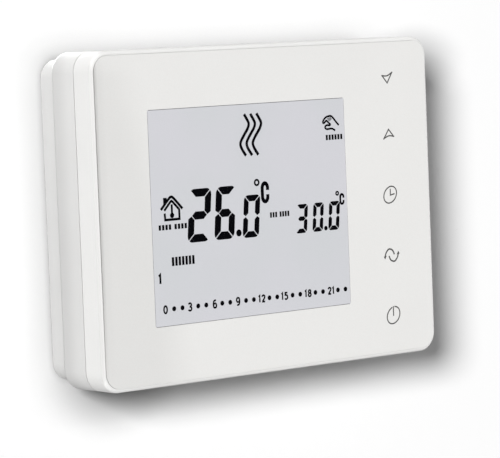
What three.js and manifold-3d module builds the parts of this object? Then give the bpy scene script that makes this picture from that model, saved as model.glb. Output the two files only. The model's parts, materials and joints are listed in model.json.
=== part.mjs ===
// Wall thermostat: a battery room thermostat that clips onto a wall plate with relay terminals.
// Millimetres. +Z is up, +X is to the right as seen from the front, and the front faces -Y.
// The wall is the plane y = 0, and the origin is the middle of the wall plate's back face.

import Module from 'manifold-3d';
import * as THREE from 'three';
import { mergeVertices } from 'three/addons/utils/BufferGeometryUtils.js';

const wasm = await Module();
wasm.setup();

// ---------------------------------------------------------------- driving sizes

// Case shells, from the wall forward.
const BODY_WIDTH = 120;
const BODY_HEIGHT = 90;
const BODY_CORNER = 5.5;
const PLATE_DEPTH = 6.8;
const REAR_CASE_DEPTH = 10.9;
const FRONT_CASE_DEPTH = 7.3;
const WALL = 2;
const RIM_FILLET = 1;
const BACK_FILLET = 1.8;
const SEAM_GAP = 0.2;
const LIP_HEIGHT = 1.7;
const LIP_THICKNESS = 0.85;
const LIP_GAP = 0.15;
const SEAT_GAP = 0.05;

// Front panel, its window and its touch keys.
const RIM_WIDTH = 1.15;
const RIM_SETBACK = 0.3;
const PANEL_THICKNESS = 1.8;
const PANEL_GAP = 0.2;
const FLOOR_THICKNESS = 1.5;
const WINDOW_CORNER = 0.5;
const WINDOW_GAP = 0.1;
const WINDOW_LEFT_MARGIN = 18.2;
const WINDOW_RIGHT_MARGIN = 32.3;
const WINDOW_TOP_MARGIN = 16.1;
const KEY_RIGHT_MARGIN = 16;
const KEY_END_MARGIN = 11.4;
const KEY_COUNT = 5;
const KEY_HOLE_RADIUS = 4.5;

// Liquid crystal display, from the front back to the circuit board.
const DISPLAY_AIR_GAP = 0.3;
const POLARISER_THICKNESS = 0.2;
const GLASS_THICKNESS = 1.1;
const GLASS_MARGIN_X = 2.25;
const GLASS_MARGIN_Z = 3.1;
const CONTACT_LEDGE = 2.5;
const LIGHT_GUIDE_THICKNESS = 2.2;
const LED_LENGTH = 3.5;
const LED_THICKNESS = 1.2;
const LED_HEIGHT = 1.8;
const FRAME_WALL = 1.8;
const FRAME_CLEARANCE = 0.2;
const ZEBRA_THICKNESS = 2;
const ZEBRA_END_INSET = 4;
const POLARISER_OVERLAP = 0.6;

// Circuit board and what is soldered to it.
const BOARD_THICKNESS = 1.6;
const BOARD_EDGE_GAP = 1.5;
const BOARD_CORNER = 1;
const BOARD_BOSS_GAP = 1.5;
const CHIP_SIZE = 10;
const CHIP_THICKNESS = 1.4;
const CHIP_LEAD_REACH = 1;
const CHIP_LEAD_THICKNESS = 0.3;
const CHIP_STANDOFF = 0.2;
const TOUCH_CHIP_WIDTH = 2.4;
const TOUCH_CHIP_LEAD_REACH = 0.8;
const TOUCH_CHIP_MARGIN = 0.6;
const CRYSTAL_LENGTH = 10.5;
const CRYSTAL_WIDTH = 4.4;
const CRYSTAL_HEIGHT = 3.5;
const RELAY_LENGTH = 20;
const RELAY_WIDTH = 10.6;
const RELAY_HEIGHT = 10;
const RELAY_CORNER = 0.6;
const RELAY_SHIFT = 3;
const RELAY_ABOVE_POCKET = 6;
const CAPACITOR_RADIUS = 3.15;
const CAPACITOR_HEIGHT = 5.4;
const CAPACITOR_GAP = 1;
const CAPACITOR_RIGHT_OF_CHIP = 15;
const BUZZER_RADIUS = 4.5;
const BUZZER_HEIGHT = 4;
const BUZZER_MOUTH_RADIUS = 1;
const BUZZER_INSET = 8;
const BEAD_RADIUS = 1.2;
const BEAD_REACH = 2.5;
const BEAD_HEIGHT = 1.5;
const BEAD_LEAD_WIDTH = 0.5;
const BEAD_LEAD_SPREAD = 0.6;
const TOUCH_SPRING_BASE_RADIUS = 3.3;
const TOUCH_SPRING_TIP_RADIUS = 2.1;
const TOUCH_SPRING_TURNS = 3;
const TOUCH_SPRING_WIRE = 0.6;

// Screws that hold the case and the board.
const CASE_SCREW_INSET = 6.5;
const CASE_SCREW_RADIUS = 1.1;
const CASE_SCREW_HEAD_RADIUS = 2.2;
const CASE_SCREW_LENGTH = 6.2;
const BOSS_WALL = 1.8;
const BOARD_SCREW_RADIUS = 0.9;
const BOARD_SCREW_HEAD_RADIUS = 2;
const BOARD_SCREW_LENGTH = 4.6;
const POST_RADIUS = 2.5;
const HEAD_HEIGHT = 1.5;
const HEAD_EDGE = 0.45;
const SCREW_CLEARANCE = 0.15;
const SCREW_POINT = 0.6;
const CROSS_SLOT_HALF_WIDTH = 0.25;
const BOSS_HEAD_WALL = 1.08;
const POST_BOARD_MARGIN = 0.1;

// Batteries, size AAA, and their bay.
const BATTERY_RADIUS = 5.25;
const BATTERY_LENGTH = 44.5;
const BATTERY_GAP = 1.1;
const BATTERY_CLEARANCE = 0.3;
const BAY_WALL = 1.4;
const BAY_FLOOR = 1.2;
const BAY_LEFT_INSET = 10.3;
const BAY_BOTTOM_INSET = 8;
const CONTACT_THICKNESS = 0.4;
const SPRING_ROOM = 4.6;
const SPRING_WIRE = 0.7;
const SPRING_BASE_RADIUS = 3.6;
const SPRING_TIP_RADIUS = 2.3;
const SPRING_TURNS = 3;
const CONTACT_GAP = 0.1;
const CONTACT_SEAT = 0.2;
const CONTACT_HALF_HEIGHT = 4.5;
const TAIL_HALF_WIDTH = 1;
const DIVIDER_END_INSET = 8;
const DIVIDER_HEIGHT = 2.5;
const NUB_RADIUS = 1.9;
const NUB_HEIGHT = 0.8;
const CELL_EDGE = 0.5;
const CELL_END_RADIUS = 3.4;

// Wall plate.
const PLATE_INSET = 2;
const PLATE_CORNER = 5;
const PLATE_BASE = 2;
const SKIRT_WALL = 1.8;
const UNIT_GAP = 0.2;
const SCREW_SLOT_SPACING = 60.3;
const SCREW_SLOT_WIDTH = 4;
const SCREW_SLOT_LENGTH = 9;
const SCREW_SLOT_HEIGHT = 6;
const CORNER_HOLE_RADIUS = 2;
const CORNER_HOLE_INSET_X = 10;
const CORNER_HOLE_INSET_Z = 9;
const CABLE_SIDE_MARGIN = 4.8;
const CABLE_OPENING_HEIGHT = 14;
const CABLE_OPENING_CORNER = 2;
const CABLE_ABOVE_TERMINALS = 2.5;
const LOCATING_RIB_HEIGHT = 1.6;
const LOCATING_RIB_WALL = 1.2;
const LOCATING_CLEARANCE = 0.4;
const TONGUE_WIDTH = 10;
const TONGUE_THICKNESS = 1.4;
const TONGUE_SIDE_INSET = 26;
const ENGAGEMENT = 2.8;
const RAIL_HEIGHT = 2.4;
const RAIL_WALL = 1.2;
const RAIL_END_INSET = 1.5;

// Air vents through the rear case, in two rows: one above and one below.
const VENT_COUNT = 9;
const VENT_PITCH = 3;
const VENT_WIDTH = 1.2;
const VENT_LENGTH = 4;
const VENT_FROM_SEAM = 3.7;

// Terminals: rising clamps on three poles, and blades that plug into the board.
const POLE_COUNT = 3;
const POLE_PITCH = 7.5;
const TERMINAL_BOTTOM_INSET = 9;
const TERMINAL_WALL = 1;
const TERMINAL_STEP_HEIGHT = 6.5;
const TERMINAL_BLOCK_HEIGHT = 12;
const TERMINAL_SCREW_RADIUS = 1.3;
const TERMINAL_HEAD_RADIUS = 2.1;
const TERMINAL_HEAD_HEIGHT = 1.4;
const TERMINAL_FRONT_WALL = 0.8;
const TERMINAL_SCREW_SLOT = 0.8;
const TERMINAL_RECESS_CLEARANCE = 0.2;
const TERMINAL_HOLE_CLEARANCE = 0.2;
const TERMINAL_HEAD_EDGE = 0.2;
const TERMINAL_SLOT_DEPTH = 0.7;
const TERMINAL_HEAD_SEAT = 0.1;
const THREAD_PITCH = 0.5;
const THREAD_CLEARANCE = 0.1;
const SCREW_TURNS = 3;
const CLAMP_WIDTH = 5.7;
const CLAMP_LENGTH = 6.5;
const CLAMP_WALL = 0.75;
const CLAMP_FRONT_WALL = 1.2;
const CLAMP_WINDOW = 3.2;
const CLAMP_BACK_WALL = 0.9;
const CLAMP_ABOVE_STEP = 2.2;
const CLAMP_SIDE_CLEARANCE = 0.2;
const BAR_CLEARANCE = 0.15;
const BAR_SEAT = 0.2;
const BAR_THICKNESS = 0.8;
const BLADE_WIDTH = 2.8;
const BLADE_LENGTH = 5.3;
const SOCKET_SIDE_INSET = 1.5;
const SOCKET_END_INSET = 0.5;
const SOCKET_BACK_GAP = 0.2;
const POCKET_WALL = 1.4;
const POCKET_FLOOR = 1.2;
const POCKET_BOARD_GAP = 1.1;
const POCKET_SCREW_GAP = 0.3;
const POCKET_BAY_GAP = 1.5;
const POCKET_BOTTOM_MARGIN = 2;
const WIRING_HEIGHT = 25.6;

// Release latch at the lower edge of the wall plate.
const LATCH_WIDTH = 12;
const LATCH_THICKNESS = 2;
const LATCH_BARREL_RADIUS = 1.45;
const LATCH_PIN_RADIUS = 0.8;
const LATCH_GAP = 0.4;
const LATCH_SWING_ROOM = 1;
const LATCH_BARREL_CLEARANCE = 0.15;
const LATCH_BORE_CLEARANCE = 0.08;
const LATCH_PIN_CLEARANCE = 0.06;
const LATCH_SPRING_ROOM = 3;
const LATCH_SPRING_WIRE = 0.25;
const LATCH_SPRING_RADIUS = 1.15;
const LATCH_SPRING_TURNS = 3.25;
const LATCH_SPRING_ARM_LEG = 2.6;
const LATCH_SPRING_PLATE_LEG = 1.2;
const LATCH_SPRING_END_GAP = 0.5;
const EAR_WIDTH = 2;
const EAR_TOP_WALL = 0.4;

// Running clearance between pieces that move past each other.
const RUNNING = 0.3;

// How far a cutting solid runs past the face it opens, and how deep a joined piece is rooted.
const PAST = 1;
const ROOT = 0.5;

// ---------------------------------------------------------------- levels and places

const unitBack = -PLATE_DEPTH;
const seam = unitBack - REAR_CASE_DEPTH;
const face = seam - FRONT_CASE_DEPTH;
const rimFront = face + RIM_SETBACK;
const panelBack = face + PANEL_THICKNESS;
const floorFront = panelBack + SEAT_GAP;
const floorBack = floorFront + FLOOR_THICKNESS;
const rearFront = seam + SEAM_GAP;
const rearFloor = unitBack - WALL;

const polariserFront = panelBack + DISPLAY_AIR_GAP;
const upperGlassFront = polariserFront + POLARISER_THICKNESS + SEAT_GAP;
const upperGlassBack = upperGlassFront + GLASS_THICKNESS;
const lowerGlassFront = upperGlassBack + SEAT_GAP;
const lowerGlassBack = lowerGlassFront + GLASS_THICKNESS;
const rearPolariserFront = lowerGlassBack + SEAT_GAP;
const lightGuideFront = rearPolariserFront + POLARISER_THICKNESS + SEAT_GAP;
const lightGuideBack = lightGuideFront + LIGHT_GUIDE_THICKNESS;
const reflectorFront = lightGuideBack + SEAT_GAP;
const boardFront = reflectorFront + POLARISER_THICKNESS + 3 * SEAT_GAP;
const boardBack = boardFront + BOARD_THICKNESS;

const panelWidth = BODY_WIDTH - 2 * (RIM_WIDTH + PANEL_GAP);
const panelHeight = BODY_HEIGHT - 2 * (RIM_WIDTH + PANEL_GAP);
const panelCorner = BODY_CORNER - RIM_WIDTH - PANEL_GAP;
const windowLeft = -BODY_WIDTH / 2 + WINDOW_LEFT_MARGIN;
const windowWidth = BODY_WIDTH - WINDOW_LEFT_MARGIN - WINDOW_RIGHT_MARGIN;
const windowHeight = BODY_HEIGHT - 2 * WINDOW_TOP_MARGIN;
const windowX = windowLeft + windowWidth / 2;
const keyX = BODY_WIDTH / 2 - KEY_RIGHT_MARGIN;
const keyTop = BODY_HEIGHT / 2 - KEY_END_MARGIN;
const keySpacing = (2 * keyTop) / (KEY_COUNT - 1);
const keyHeights = Array.from({ length: KEY_COUNT }, (_, i) => keyTop - i * keySpacing);
const glassWidth = windowWidth + 2 * GLASS_MARGIN_X;
const glassHeight = windowHeight + 2 * GLASS_MARGIN_Z;
const lowerGlassHeight = glassHeight - 2 * CONTACT_LEDGE;

const caseScrewX = BODY_WIDTH / 2 - CASE_SCREW_INSET;
const caseScrewZ = BODY_HEIGHT / 2 - CASE_SCREW_INSET;
const frontBossRadius = CASE_SCREW_RADIUS + BOSS_WALL;
const rearBossRadius = CASE_SCREW_HEAD_RADIUS + RUNNING + BOSS_HEAD_WALL;
const boardWidth = 2 * (caseScrewX - frontBossRadius - BOARD_BOSS_GAP);
const boardHeight = BODY_HEIGHT - 2 * (WALL + BOARD_EDGE_GAP);
const frameHeight = glassHeight + 2 * (FRAME_CLEARANCE + FRAME_WALL);
const postInset = POST_RADIUS + POST_BOARD_MARGIN;
const postTop = boardHeight / 2 - postInset;
const postRightX = boardWidth / 2 - postInset;
const boardPosts = [
  [-boardWidth / 2 + postInset, postTop],
  [postRightX, keyTop - keySpacing / 2],
  [postRightX, -keyTop + keySpacing / 2],
];

const bayLeft = -BODY_WIDTH / 2 + BAY_LEFT_INSET;
const bayBottom = -BODY_HEIGHT / 2 + BAY_BOTTOM_INSET;
const bayFloorFront = boardBack + BATTERY_CLEARANCE;
const bayFloorBack = bayFloorFront + BAY_FLOOR;
const batteryY = bayFloorBack + RUNNING + BATTERY_RADIUS;
const lowerBatteryZ = bayBottom + BATTERY_CLEARANCE + BATTERY_RADIUS;
const upperBatteryZ = lowerBatteryZ + 2 * BATTERY_RADIUS + BATTERY_GAP;
const bayTop = upperBatteryZ + BATTERY_RADIUS + BATTERY_CLEARANCE;
const linkX = bayLeft + CONTACT_GAP;
const batteryLeftStop = linkX + CONTACT_THICKNESS + CONTACT_SEAT;
const batteryRightStop = batteryLeftStop + BATTERY_LENGTH + SPRING_ROOM;
const terminalContactX = batteryRightStop + CONTACT_SEAT;
const bayRight = terminalContactX + CONTACT_THICKNESS + CONTACT_GAP;

const plateWidth = BODY_WIDTH - 2 * PLATE_INSET;
const plateHeight = BODY_HEIGHT - 2 * PLATE_INSET;
const plateFront = -PLATE_DEPTH + UNIT_GAP;
const tongueX = plateWidth / 2 - TONGUE_SIDE_INSET;
const baseFront = -PLATE_BASE;
const skirtInner = plateHeight / 2 - SKIRT_WALL;

const pocketFloorFront = boardBack + POCKET_BOARD_GAP;
const pocketFloorBack = pocketFloorFront + POCKET_FLOOR;
const pocketLeft = bayRight + BAY_WALL + POCKET_BAY_GAP + POCKET_WALL;
const pocketRight = postRightX - BOARD_SCREW_HEAD_RADIUS - POCKET_SCREW_GAP - POCKET_WALL;
const terminalX = (pocketLeft + pocketRight) / 2;
const terminalWidth = POLE_COUNT * POLE_PITCH + 2 * TERMINAL_WALL;
const terminalFront = pocketFloorBack + 2 * RUNNING;
const terminalBack = baseFront - SEAT_GAP;
const terminalBottom = -BODY_HEIGHT / 2 + TERMINAL_BOTTOM_INSET;
const terminalMid = terminalBottom + TERMINAL_STEP_HEIGHT;
const terminalTop = terminalMid + TERMINAL_BLOCK_HEIGHT;
const recessFloor = terminalFront + TERMINAL_HEAD_HEIGHT + TERMINAL_RECESS_CLEARANCE;
const cavityFront = recessFloor + TERMINAL_FRONT_WALL;
const clampTravel = THREAD_PITCH * SCREW_TURNS;
const clampFront = cavityFront + clampTravel + RUNNING;
const clampInnerFront = clampFront + CLAMP_FRONT_WALL;
const clampInnerBack = clampInnerFront + CLAMP_WINDOW;
const clampBack = clampInnerBack + CLAMP_BACK_WALL;
const cavityBack = clampBack + RUNNING;
const clampZ = terminalMid + CLAMP_ABOVE_STEP + CLAMP_LENGTH / 2;
const barFront = clampInnerFront + BAR_SEAT;
const barBack = barFront + BAR_THICKNESS;
const stepFront = barFront - TERMINAL_WALL;
const bladeZ = terminalBottom + TERMINAL_STEP_HEIGHT / 2;
const bladeTip = stepFront - BLADE_LENGTH;
const socketBack = stepFront - RUNNING - SOCKET_BACK_GAP;
const socketHalfWidth = (POLE_COUNT * POLE_PITCH) / 2 - SOCKET_SIDE_INSET;
const socketHalfHeight = TERMINAL_STEP_HEIGHT / 2 - SOCKET_END_INSET;

const pocketBottom = terminalBottom - POCKET_BOTTOM_MARGIN;
const pocketTop = terminalTop + WIRING_HEIGHT;
const cableWidth = pocketRight - pocketLeft - 2 * CABLE_SIDE_MARGIN;
const cableTop = terminalTop + CABLE_ABOVE_TERMINALS + CABLE_OPENING_HEIGHT;

const relayX = terminalX + RELAY_SHIFT;
const relayZ = pocketTop + POCKET_WALL + RELAY_ABOVE_POCKET + RELAY_WIDTH / 2;
const relayBack = boardBack + SEAT_GAP + RELAY_HEIGHT;
const domeInnerBack = relayBack + 2 * RUNNING;

const latchBottom = -plateHeight / 2 + LATCH_GAP;
const latchTop = latchBottom + LATCH_THICKNESS;
const latchPivotY = baseFront - RUNNING - LATCH_BARREL_RADIUS;
const latchPivotZ = -plateHeight / 2 + LATCH_BARREL_RADIUS + LATCH_BARREL_CLEARANCE;
const latchTip = unitBack - ENGAGEMENT;
const latchSlotTop = latchTop + LATCH_SWING_ROOM;

// ---------------------------------------------------------------- shapes and solids

// Turns a drawing of (x, z), extruded along its own normal, to face the front (-Y).
const facingFront = new THREE.Matrix4().makeBasis(
  new THREE.Vector3(1, 0, 0),
  new THREE.Vector3(0, 0, 1),
  new THREE.Vector3(0, -1, 0),
);

function signedVolume(positions, indices) {
  const a = new THREE.Vector3();
  const b = new THREE.Vector3();
  const c = new THREE.Vector3();
  let volume = 0;
  for (let i = 0; i < indices.length; i += 3) {
    a.fromArray(positions, 3 * indices[i]);
    b.fromArray(positions, 3 * indices[i + 1]);
    c.fromArray(positions, 3 * indices[i + 2]);
    volume += a.dot(b.cross(c)) / 6;
  }
  return volume;
}

// Makes a solid of a closed geometry, with its faces pointing out.
function solid(geometry) {
  geometry.deleteAttribute('normal');
  geometry.deleteAttribute('uv');
  const merged = mergeVertices(geometry, 1e-5);
  const positions = merged.attributes.position.array;
  const corners = merged.index.array;
  const triangles = [];
  for (let i = 0; i < corners.length; i += 3) {
    const [a, b, c] = corners.slice(i, i + 3);
    if (a !== b && b !== c && c !== a) triangles.push(a, b, c);
  }
  if (signedVolume(positions, triangles) < 0) triangles.reverse();
  return new wasm.Manifold(new wasm.Mesh({
    numProp: 3,
    vertProperties: new Float32Array(positions),
    triVerts: new Uint32Array(triangles),
  }));
}

function join(...solids) {
  return solids.reduce((all, next) => all.add(next));
}

function cut(from, ...solids) {
  return solids.reduce((left, next) => left.subtract(next), from);
}

function geometryOf(body) {
  const mesh = body.getMesh();
  const geometry = new THREE.BufferGeometry();
  geometry.setAttribute('position', new THREE.BufferAttribute(mesh.vertProperties, 3));
  geometry.setIndex(new THREE.BufferAttribute(mesh.triVerts, 1));
  const faceted = geometry.toNonIndexed();
  faceted.computeVertexNormals();
  return faceted;
}

function roundedRectangle(width, height, corner, x = 0, z = 0) {
  const shape = new THREE.Shape();
  const right = x + width / 2 - corner;
  const left = x - width / 2 + corner;
  const top = z + height / 2 - corner;
  const bottom = z - height / 2 + corner;
  const quarter = Math.PI / 2;
  shape.absarc(right, top, corner, 0, quarter);
  shape.absarc(left, top, corner, quarter, 2 * quarter);
  shape.absarc(left, bottom, corner, 2 * quarter, 3 * quarter);
  shape.absarc(right, bottom, corner, 3 * quarter, 4 * quarter);
  return shape;
}

// A flat solid of an (x, z) outline, from the level `back` forward to the level `front`.
// A quarter-round corner gets two facets for each of its corner steps.
function slab(shape, back, front, cornerSteps = 2) {
  const geometry = new THREE.ExtrudeGeometry(shape, {
    depth: back - front,
    bevelEnabled: false,
    curveSegments: cornerSteps,
  });
  geometry.translate(0, 0, -back);
  geometry.applyMatrix4(facingFront);
  return solid(geometry);
}

// A slab whose front and back edges are both rounded by a fillet.
function filletedSlab(shape, back, front, fillet) {
  const geometry = new THREE.ExtrudeGeometry(shape, {
    depth: back - front - 2 * fillet,
    bevelThickness: fillet,
    bevelSize: fillet,
    bevelOffset: -fillet,
    bevelSegments: 3,
    curveSegments: 4,
  });
  geometry.translate(0, 0, -back + fillet);
  geometry.applyMatrix4(facingFront);
  return solid(geometry);
}

function block(left, right, front, back, bottom, top) {
  const geometry = new THREE.BoxGeometry(right - left, back - front, top - bottom);
  geometry.translate((left + right) / 2, (front + back) / 2, (bottom + top) / 2);
  return solid(geometry);
}

// A round rod along Y.
function post(x, z, radius, back, front, sides = 20) {
  const geometry = new THREE.CylinderGeometry(radius, radius, back - front, sides);
  geometry.translate(x, (back + front) / 2, z);
  return solid(geometry);
}

// A round rod along X.
function axle(radius, left, right, y, z, sides = 16) {
  const geometry = new THREE.CylinderGeometry(radius, radius, right - left, sides);
  geometry.rotateZ(Math.PI / 2);
  geometry.translate((left + right) / 2, y, z);
  return solid(geometry);
}

// A turned solid about Y, from [radius, y] points that start and end on the axis.
function turned(points, sides) {
  const profile = points.map(([radius, y]) => new THREE.Vector2(radius, y));
  return solid(new THREE.LatheGeometry(profile, sides));
}

// The centre line of a coil that winds up the Y axis, straight or conical.
class CoilPath extends THREE.Curve {
  constructor(startRadius, endRadius, length, turns) {
    super();
    this.startRadius = startRadius;
    this.endRadius = endRadius;
    this.length = length;
    this.turns = turns;
  }

  getPoint(t, target = new THREE.Vector3()) {
    const angle = 2 * Math.PI * this.turns * t;
    const radius = THREE.MathUtils.lerp(this.startRadius, this.endRadius, t);
    return target.set(radius * Math.cos(angle), this.length * t, radius * Math.sin(angle));
  }
}

// A wire coil along +Y from the origin: `length` is its whole height, wire included.
function coil(startRadius, endRadius, length, turns, wire) {
  const stepsPerTurn = 10;
  const section = new THREE.Shape();
  section.absarc(0, 0, wire / 2, 0, 2 * Math.PI);
  const geometry = new THREE.ExtrudeGeometry(section, {
    steps: Math.round(turns * stepsPerTurn),
    curveSegments: 3,
    extrudePath: new CoilPath(startRadius, endRadius, length - wire, turns),
  });
  geometry.translate(0, wire / 2, 0);
  return solid(geometry);
}

function polesX() {
  return Array.from({ length: POLE_COUNT }, (_, i) => terminalX + (i - (POLE_COUNT - 1) / 2) * POLE_PITCH);
}

// ---------------------------------------------------------------- materials and scene

const finishes = {
  shell: { color: 0xebe9e6, roughness: 0.5 },
  panel: { color: 0xe7e6e4, roughness: 0.4 },
  glass: { color: 0xcdd3d6, roughness: 0.1 },
  film: { color: 0xb9bcb4, roughness: 0.3 },
  diffuser: { color: 0xf4f6f2, roughness: 0.5 },
  frame: { color: 0xf0f0ee, roughness: 0.5 },
  elastomer: { color: 0xd9a7a0, roughness: 0.8 },
  board: { color: 0x2f6b45, roughness: 0.45 },
  chip: { color: 0x202124, roughness: 0.5 },
  relay: { color: 0x2b5fa8, roughness: 0.4 },
  steel: { color: 0xb9bcc0, roughness: 0.35, metalness: 1 },
  brass: { color: 0xc9a85a, roughness: 0.35, metalness: 1 },
  aluminium: { color: 0xd0d3d6, roughness: 0.35, metalness: 1 },
  cell: { color: 0x4b6b57, roughness: 0.4 },
  terminal: { color: 0x5f8f5a, roughness: 0.5 },
  led: { color: 0xf5f2d8, roughness: 0.3 },
};

function material(finish) {
  return new THREE.MeshStandardMaterial(finishes[finish]);
}

const thermostat = new THREE.Group();
const wallSide = new THREE.Group();
const unit = new THREE.Group();
thermostat.add(wallSide, unit);

function place(parent, name, body, finish, x = 0, y = 0, z = 0) {
  const mesh = new THREE.Mesh(geometryOf(body), finish);
  mesh.name = name;
  mesh.position.set(x, y, z);
  parent.add(mesh);
  return mesh;
}

// ---------------------------------------------------------------- front case and panel

function bodyOutline(inset = 0) {
  return roundedRectangle(
    BODY_WIDTH - 2 * inset,
    BODY_HEIGHT - 2 * inset,
    BODY_CORNER - inset,
  );
}

function cornerPlaces(x, z) {
  return [[-x, z], [x, z], [x, -z], [-x, -z]];
}

function frontPanel() {
  const sheet = slab(roundedRectangle(panelWidth, panelHeight, panelCorner), panelBack, face, 4);
  const opening = roundedRectangle(windowWidth, windowHeight, WINDOW_CORNER, windowX);
  return cut(sheet, slab(opening, panelBack + PAST, face - PAST));
}

function displayWindow() {
  const pane = roundedRectangle(
    windowWidth - 2 * WINDOW_GAP,
    windowHeight - 2 * WINDOW_GAP,
    WINDOW_CORNER - WINDOW_GAP,
    windowX,
  );
  return slab(pane, panelBack, face);
}

function frontCase() {
  const outside = filletedSlab(bodyOutline(), seam + 2 * RIM_FILLET, rimFront, RIM_FILLET);
  const behindSeam = slab(bodyOutline(-PAST), seam + 3 * RIM_FILLET, seam);
  const panelSeat = slab(bodyOutline(RIM_WIDTH), floorFront, rimFront - PAST, 4);
  const inside = slab(bodyOutline(WALL), seam + PAST, floorBack, 3);
  const lipSeat = slab(
    bodyOutline(WALL - LIP_THICKNESS - LIP_GAP),
    seam + PAST,
    seam - LIP_HEIGHT - LIP_GAP,
    3,
  );
  const glassOpening = block(
    windowX - glassWidth / 2 - RUNNING,
    windowX + glassWidth / 2 + RUNNING,
    floorFront - PAST,
    floorBack + PAST,
    -glassHeight / 2 - RUNNING,
    glassHeight / 2 + RUNNING,
  );
  let shell = cut(outside, behindSeam, panelSeat, inside, lipSeat, glassOpening);
  for (const z of keyHeights) {
    shell = cut(shell, post(keyX, z, KEY_HOLE_RADIUS, floorBack + PAST, floorFront - PAST));
  }
  for (const [x, z] of cornerPlaces(caseScrewX, caseScrewZ)) {
    shell = join(shell, post(x, z, frontBossRadius, seam - SEAT_GAP, floorBack - ROOT));
    const hole = CASE_SCREW_RADIUS + SCREW_CLEARANCE;
    shell = cut(shell, post(x, z, hole, seam + PAST, floorBack - FLOOR_THICKNESS / 2, 16));
  }
  for (const [x, z] of boardPosts) {
    shell = join(shell, post(x, z, POST_RADIUS, boardFront - SEAT_GAP, floorBack - ROOT));
    const hole = BOARD_SCREW_RADIUS + SCREW_CLEARANCE;
    shell = cut(shell, post(x, z, hole, boardFront + PAST, floorBack, 12));
  }
  return shell;
}

// ---------------------------------------------------------------- display

// A flat layer behind the window, reaching from the glass's left edge to `right`.
function displayLayer(front, thickness, height, right) {
  const left = windowX - glassWidth / 2;
  return block(left, right, front, front + thickness, -height / 2, height / 2);
}

function displayFrame() {
  const halfInner = glassWidth / 2 + FRAME_CLEARANCE;
  const halfInnerZ = glassHeight / 2 + FRAME_CLEARANCE;
  const front = floorBack + SEAT_GAP;
  const back = boardFront - SEAT_GAP;
  const halfOuterZ = frameHeight / 2;
  const halfOuter = halfInner + FRAME_WALL;
  const outer = block(windowX - halfOuter, windowX + halfOuter, front, back, -halfOuterZ, halfOuterZ);
  const inner = block(
    windowX - halfInner,
    windowX + halfInner,
    front - PAST,
    back + PAST,
    -halfInnerZ,
    halfInnerZ,
  );
  return cut(outer, inner);
}

function zebraStrip(side) {
  const halfLength = glassWidth / 2 - ZEBRA_END_INSET;
  const middle = side * (glassHeight / 2 - ZEBRA_THICKNESS / 2 - CONTACT_GAP);
  return block(
    windowX - halfLength,
    windowX + halfLength,
    upperGlassBack + SEAT_GAP,
    boardFront - SEAT_GAP,
    middle - ZEBRA_THICKNESS / 2,
    middle + ZEBRA_THICKNESS / 2,
  );
}

function addDisplay() {
  const glass = material('glass');
  const film = material('film');
  const fullRight = windowX + glassWidth / 2;
  const guideRight = fullRight - LED_THICKNESS - 2 * RUNNING;
  const polariserHeight = windowHeight + 2 * POLARISER_OVERLAP;
  const guideHeight = lowerGlassHeight - 2 * FRAME_CLEARANCE;
  place(unit, 'front_polariser',
    displayLayer(polariserFront, POLARISER_THICKNESS, polariserHeight, fullRight), film);
  place(unit, 'lcd_upper_glass',
    displayLayer(upperGlassFront, GLASS_THICKNESS, glassHeight, fullRight), glass);
  place(unit, 'lcd_lower_glass',
    displayLayer(lowerGlassFront, GLASS_THICKNESS, lowerGlassHeight, fullRight), glass);
  place(unit, 'rear_polariser',
    displayLayer(rearPolariserFront, POLARISER_THICKNESS, guideHeight, guideRight), film);
  place(unit, 'light_guide',
    displayLayer(lightGuideFront, LIGHT_GUIDE_THICKNESS, guideHeight, guideRight),
    material('diffuser'));
  place(unit, 'reflector_sheet',
    displayLayer(reflectorFront, POLARISER_THICKNESS, guideHeight, guideRight),
    material('diffuser'));
  place(unit, 'lcd_frame', displayFrame(), material('frame'));
  place(unit, 'zebra_strip_upper', zebraStrip(1), material('elastomer'));
  place(unit, 'zebra_strip_lower', zebraStrip(-1), material('elastomer'));
  for (const [name, side] of [['backlight_led_1', 1], ['backlight_led_2', -1]]) {
    const led = block(0, LED_THICKNESS, -LED_HEIGHT, 0, -LED_LENGTH / 2, LED_LENGTH / 2);
    place(unit, name, led, material('led'),
      guideRight + RUNNING, boardFront - SEAT_GAP, side * windowHeight / 4);
  }
}

// ---------------------------------------------------------------- circuit board

function circuitBoard() {
  const hole = BOARD_SCREW_RADIUS + SCREW_CLEARANCE;
  let board = slab(roundedRectangle(boardWidth, boardHeight, BOARD_CORNER), boardBack, boardFront);
  for (const [x, z] of boardPosts) {
    board = cut(board, post(x, z, hole, boardBack + PAST, boardFront - PAST, 12));
  }
  return board;
}

// A chip about its own axis: a moulded body on a row of leads along each side.
function chip(width, height, leadReach) {
  const half = width / 2;
  const reach = half + leadReach;
  return join(
    block(-half, half, CHIP_STANDOFF, CHIP_THICKNESS, -height / 2, height / 2),
    block(-reach, reach, 0, CHIP_LEAD_THICKNESS, -height / 2, height / 2),
  );
}

// A can on a square foot, with a rolled groove near its base and a rounded top edge.
function capacitor() {
  const footHeight = 0.6;
  const grooveDepth = 0.15;
  const grooveMiddle = 1.6;
  const edge = 0.3;
  const wall = CAPACITOR_RADIUS - CONTACT_GAP;
  const foot = block(
    -CAPACITOR_RADIUS,
    CAPACITOR_RADIUS,
    0,
    footHeight,
    -CAPACITOR_RADIUS,
    CAPACITOR_RADIUS,
  );
  const can = turned([
    [0, footHeight / 2],
    [wall, footHeight / 2],
    [wall, grooveMiddle - edge],
    [wall - grooveDepth, grooveMiddle],
    [wall, grooveMiddle + edge],
    [wall, CAPACITOR_HEIGHT - edge],
    [wall - edge, CAPACITOR_HEIGHT],
    [0, CAPACITOR_HEIGHT],
  ], 16);
  return join(foot, can);
}

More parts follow.
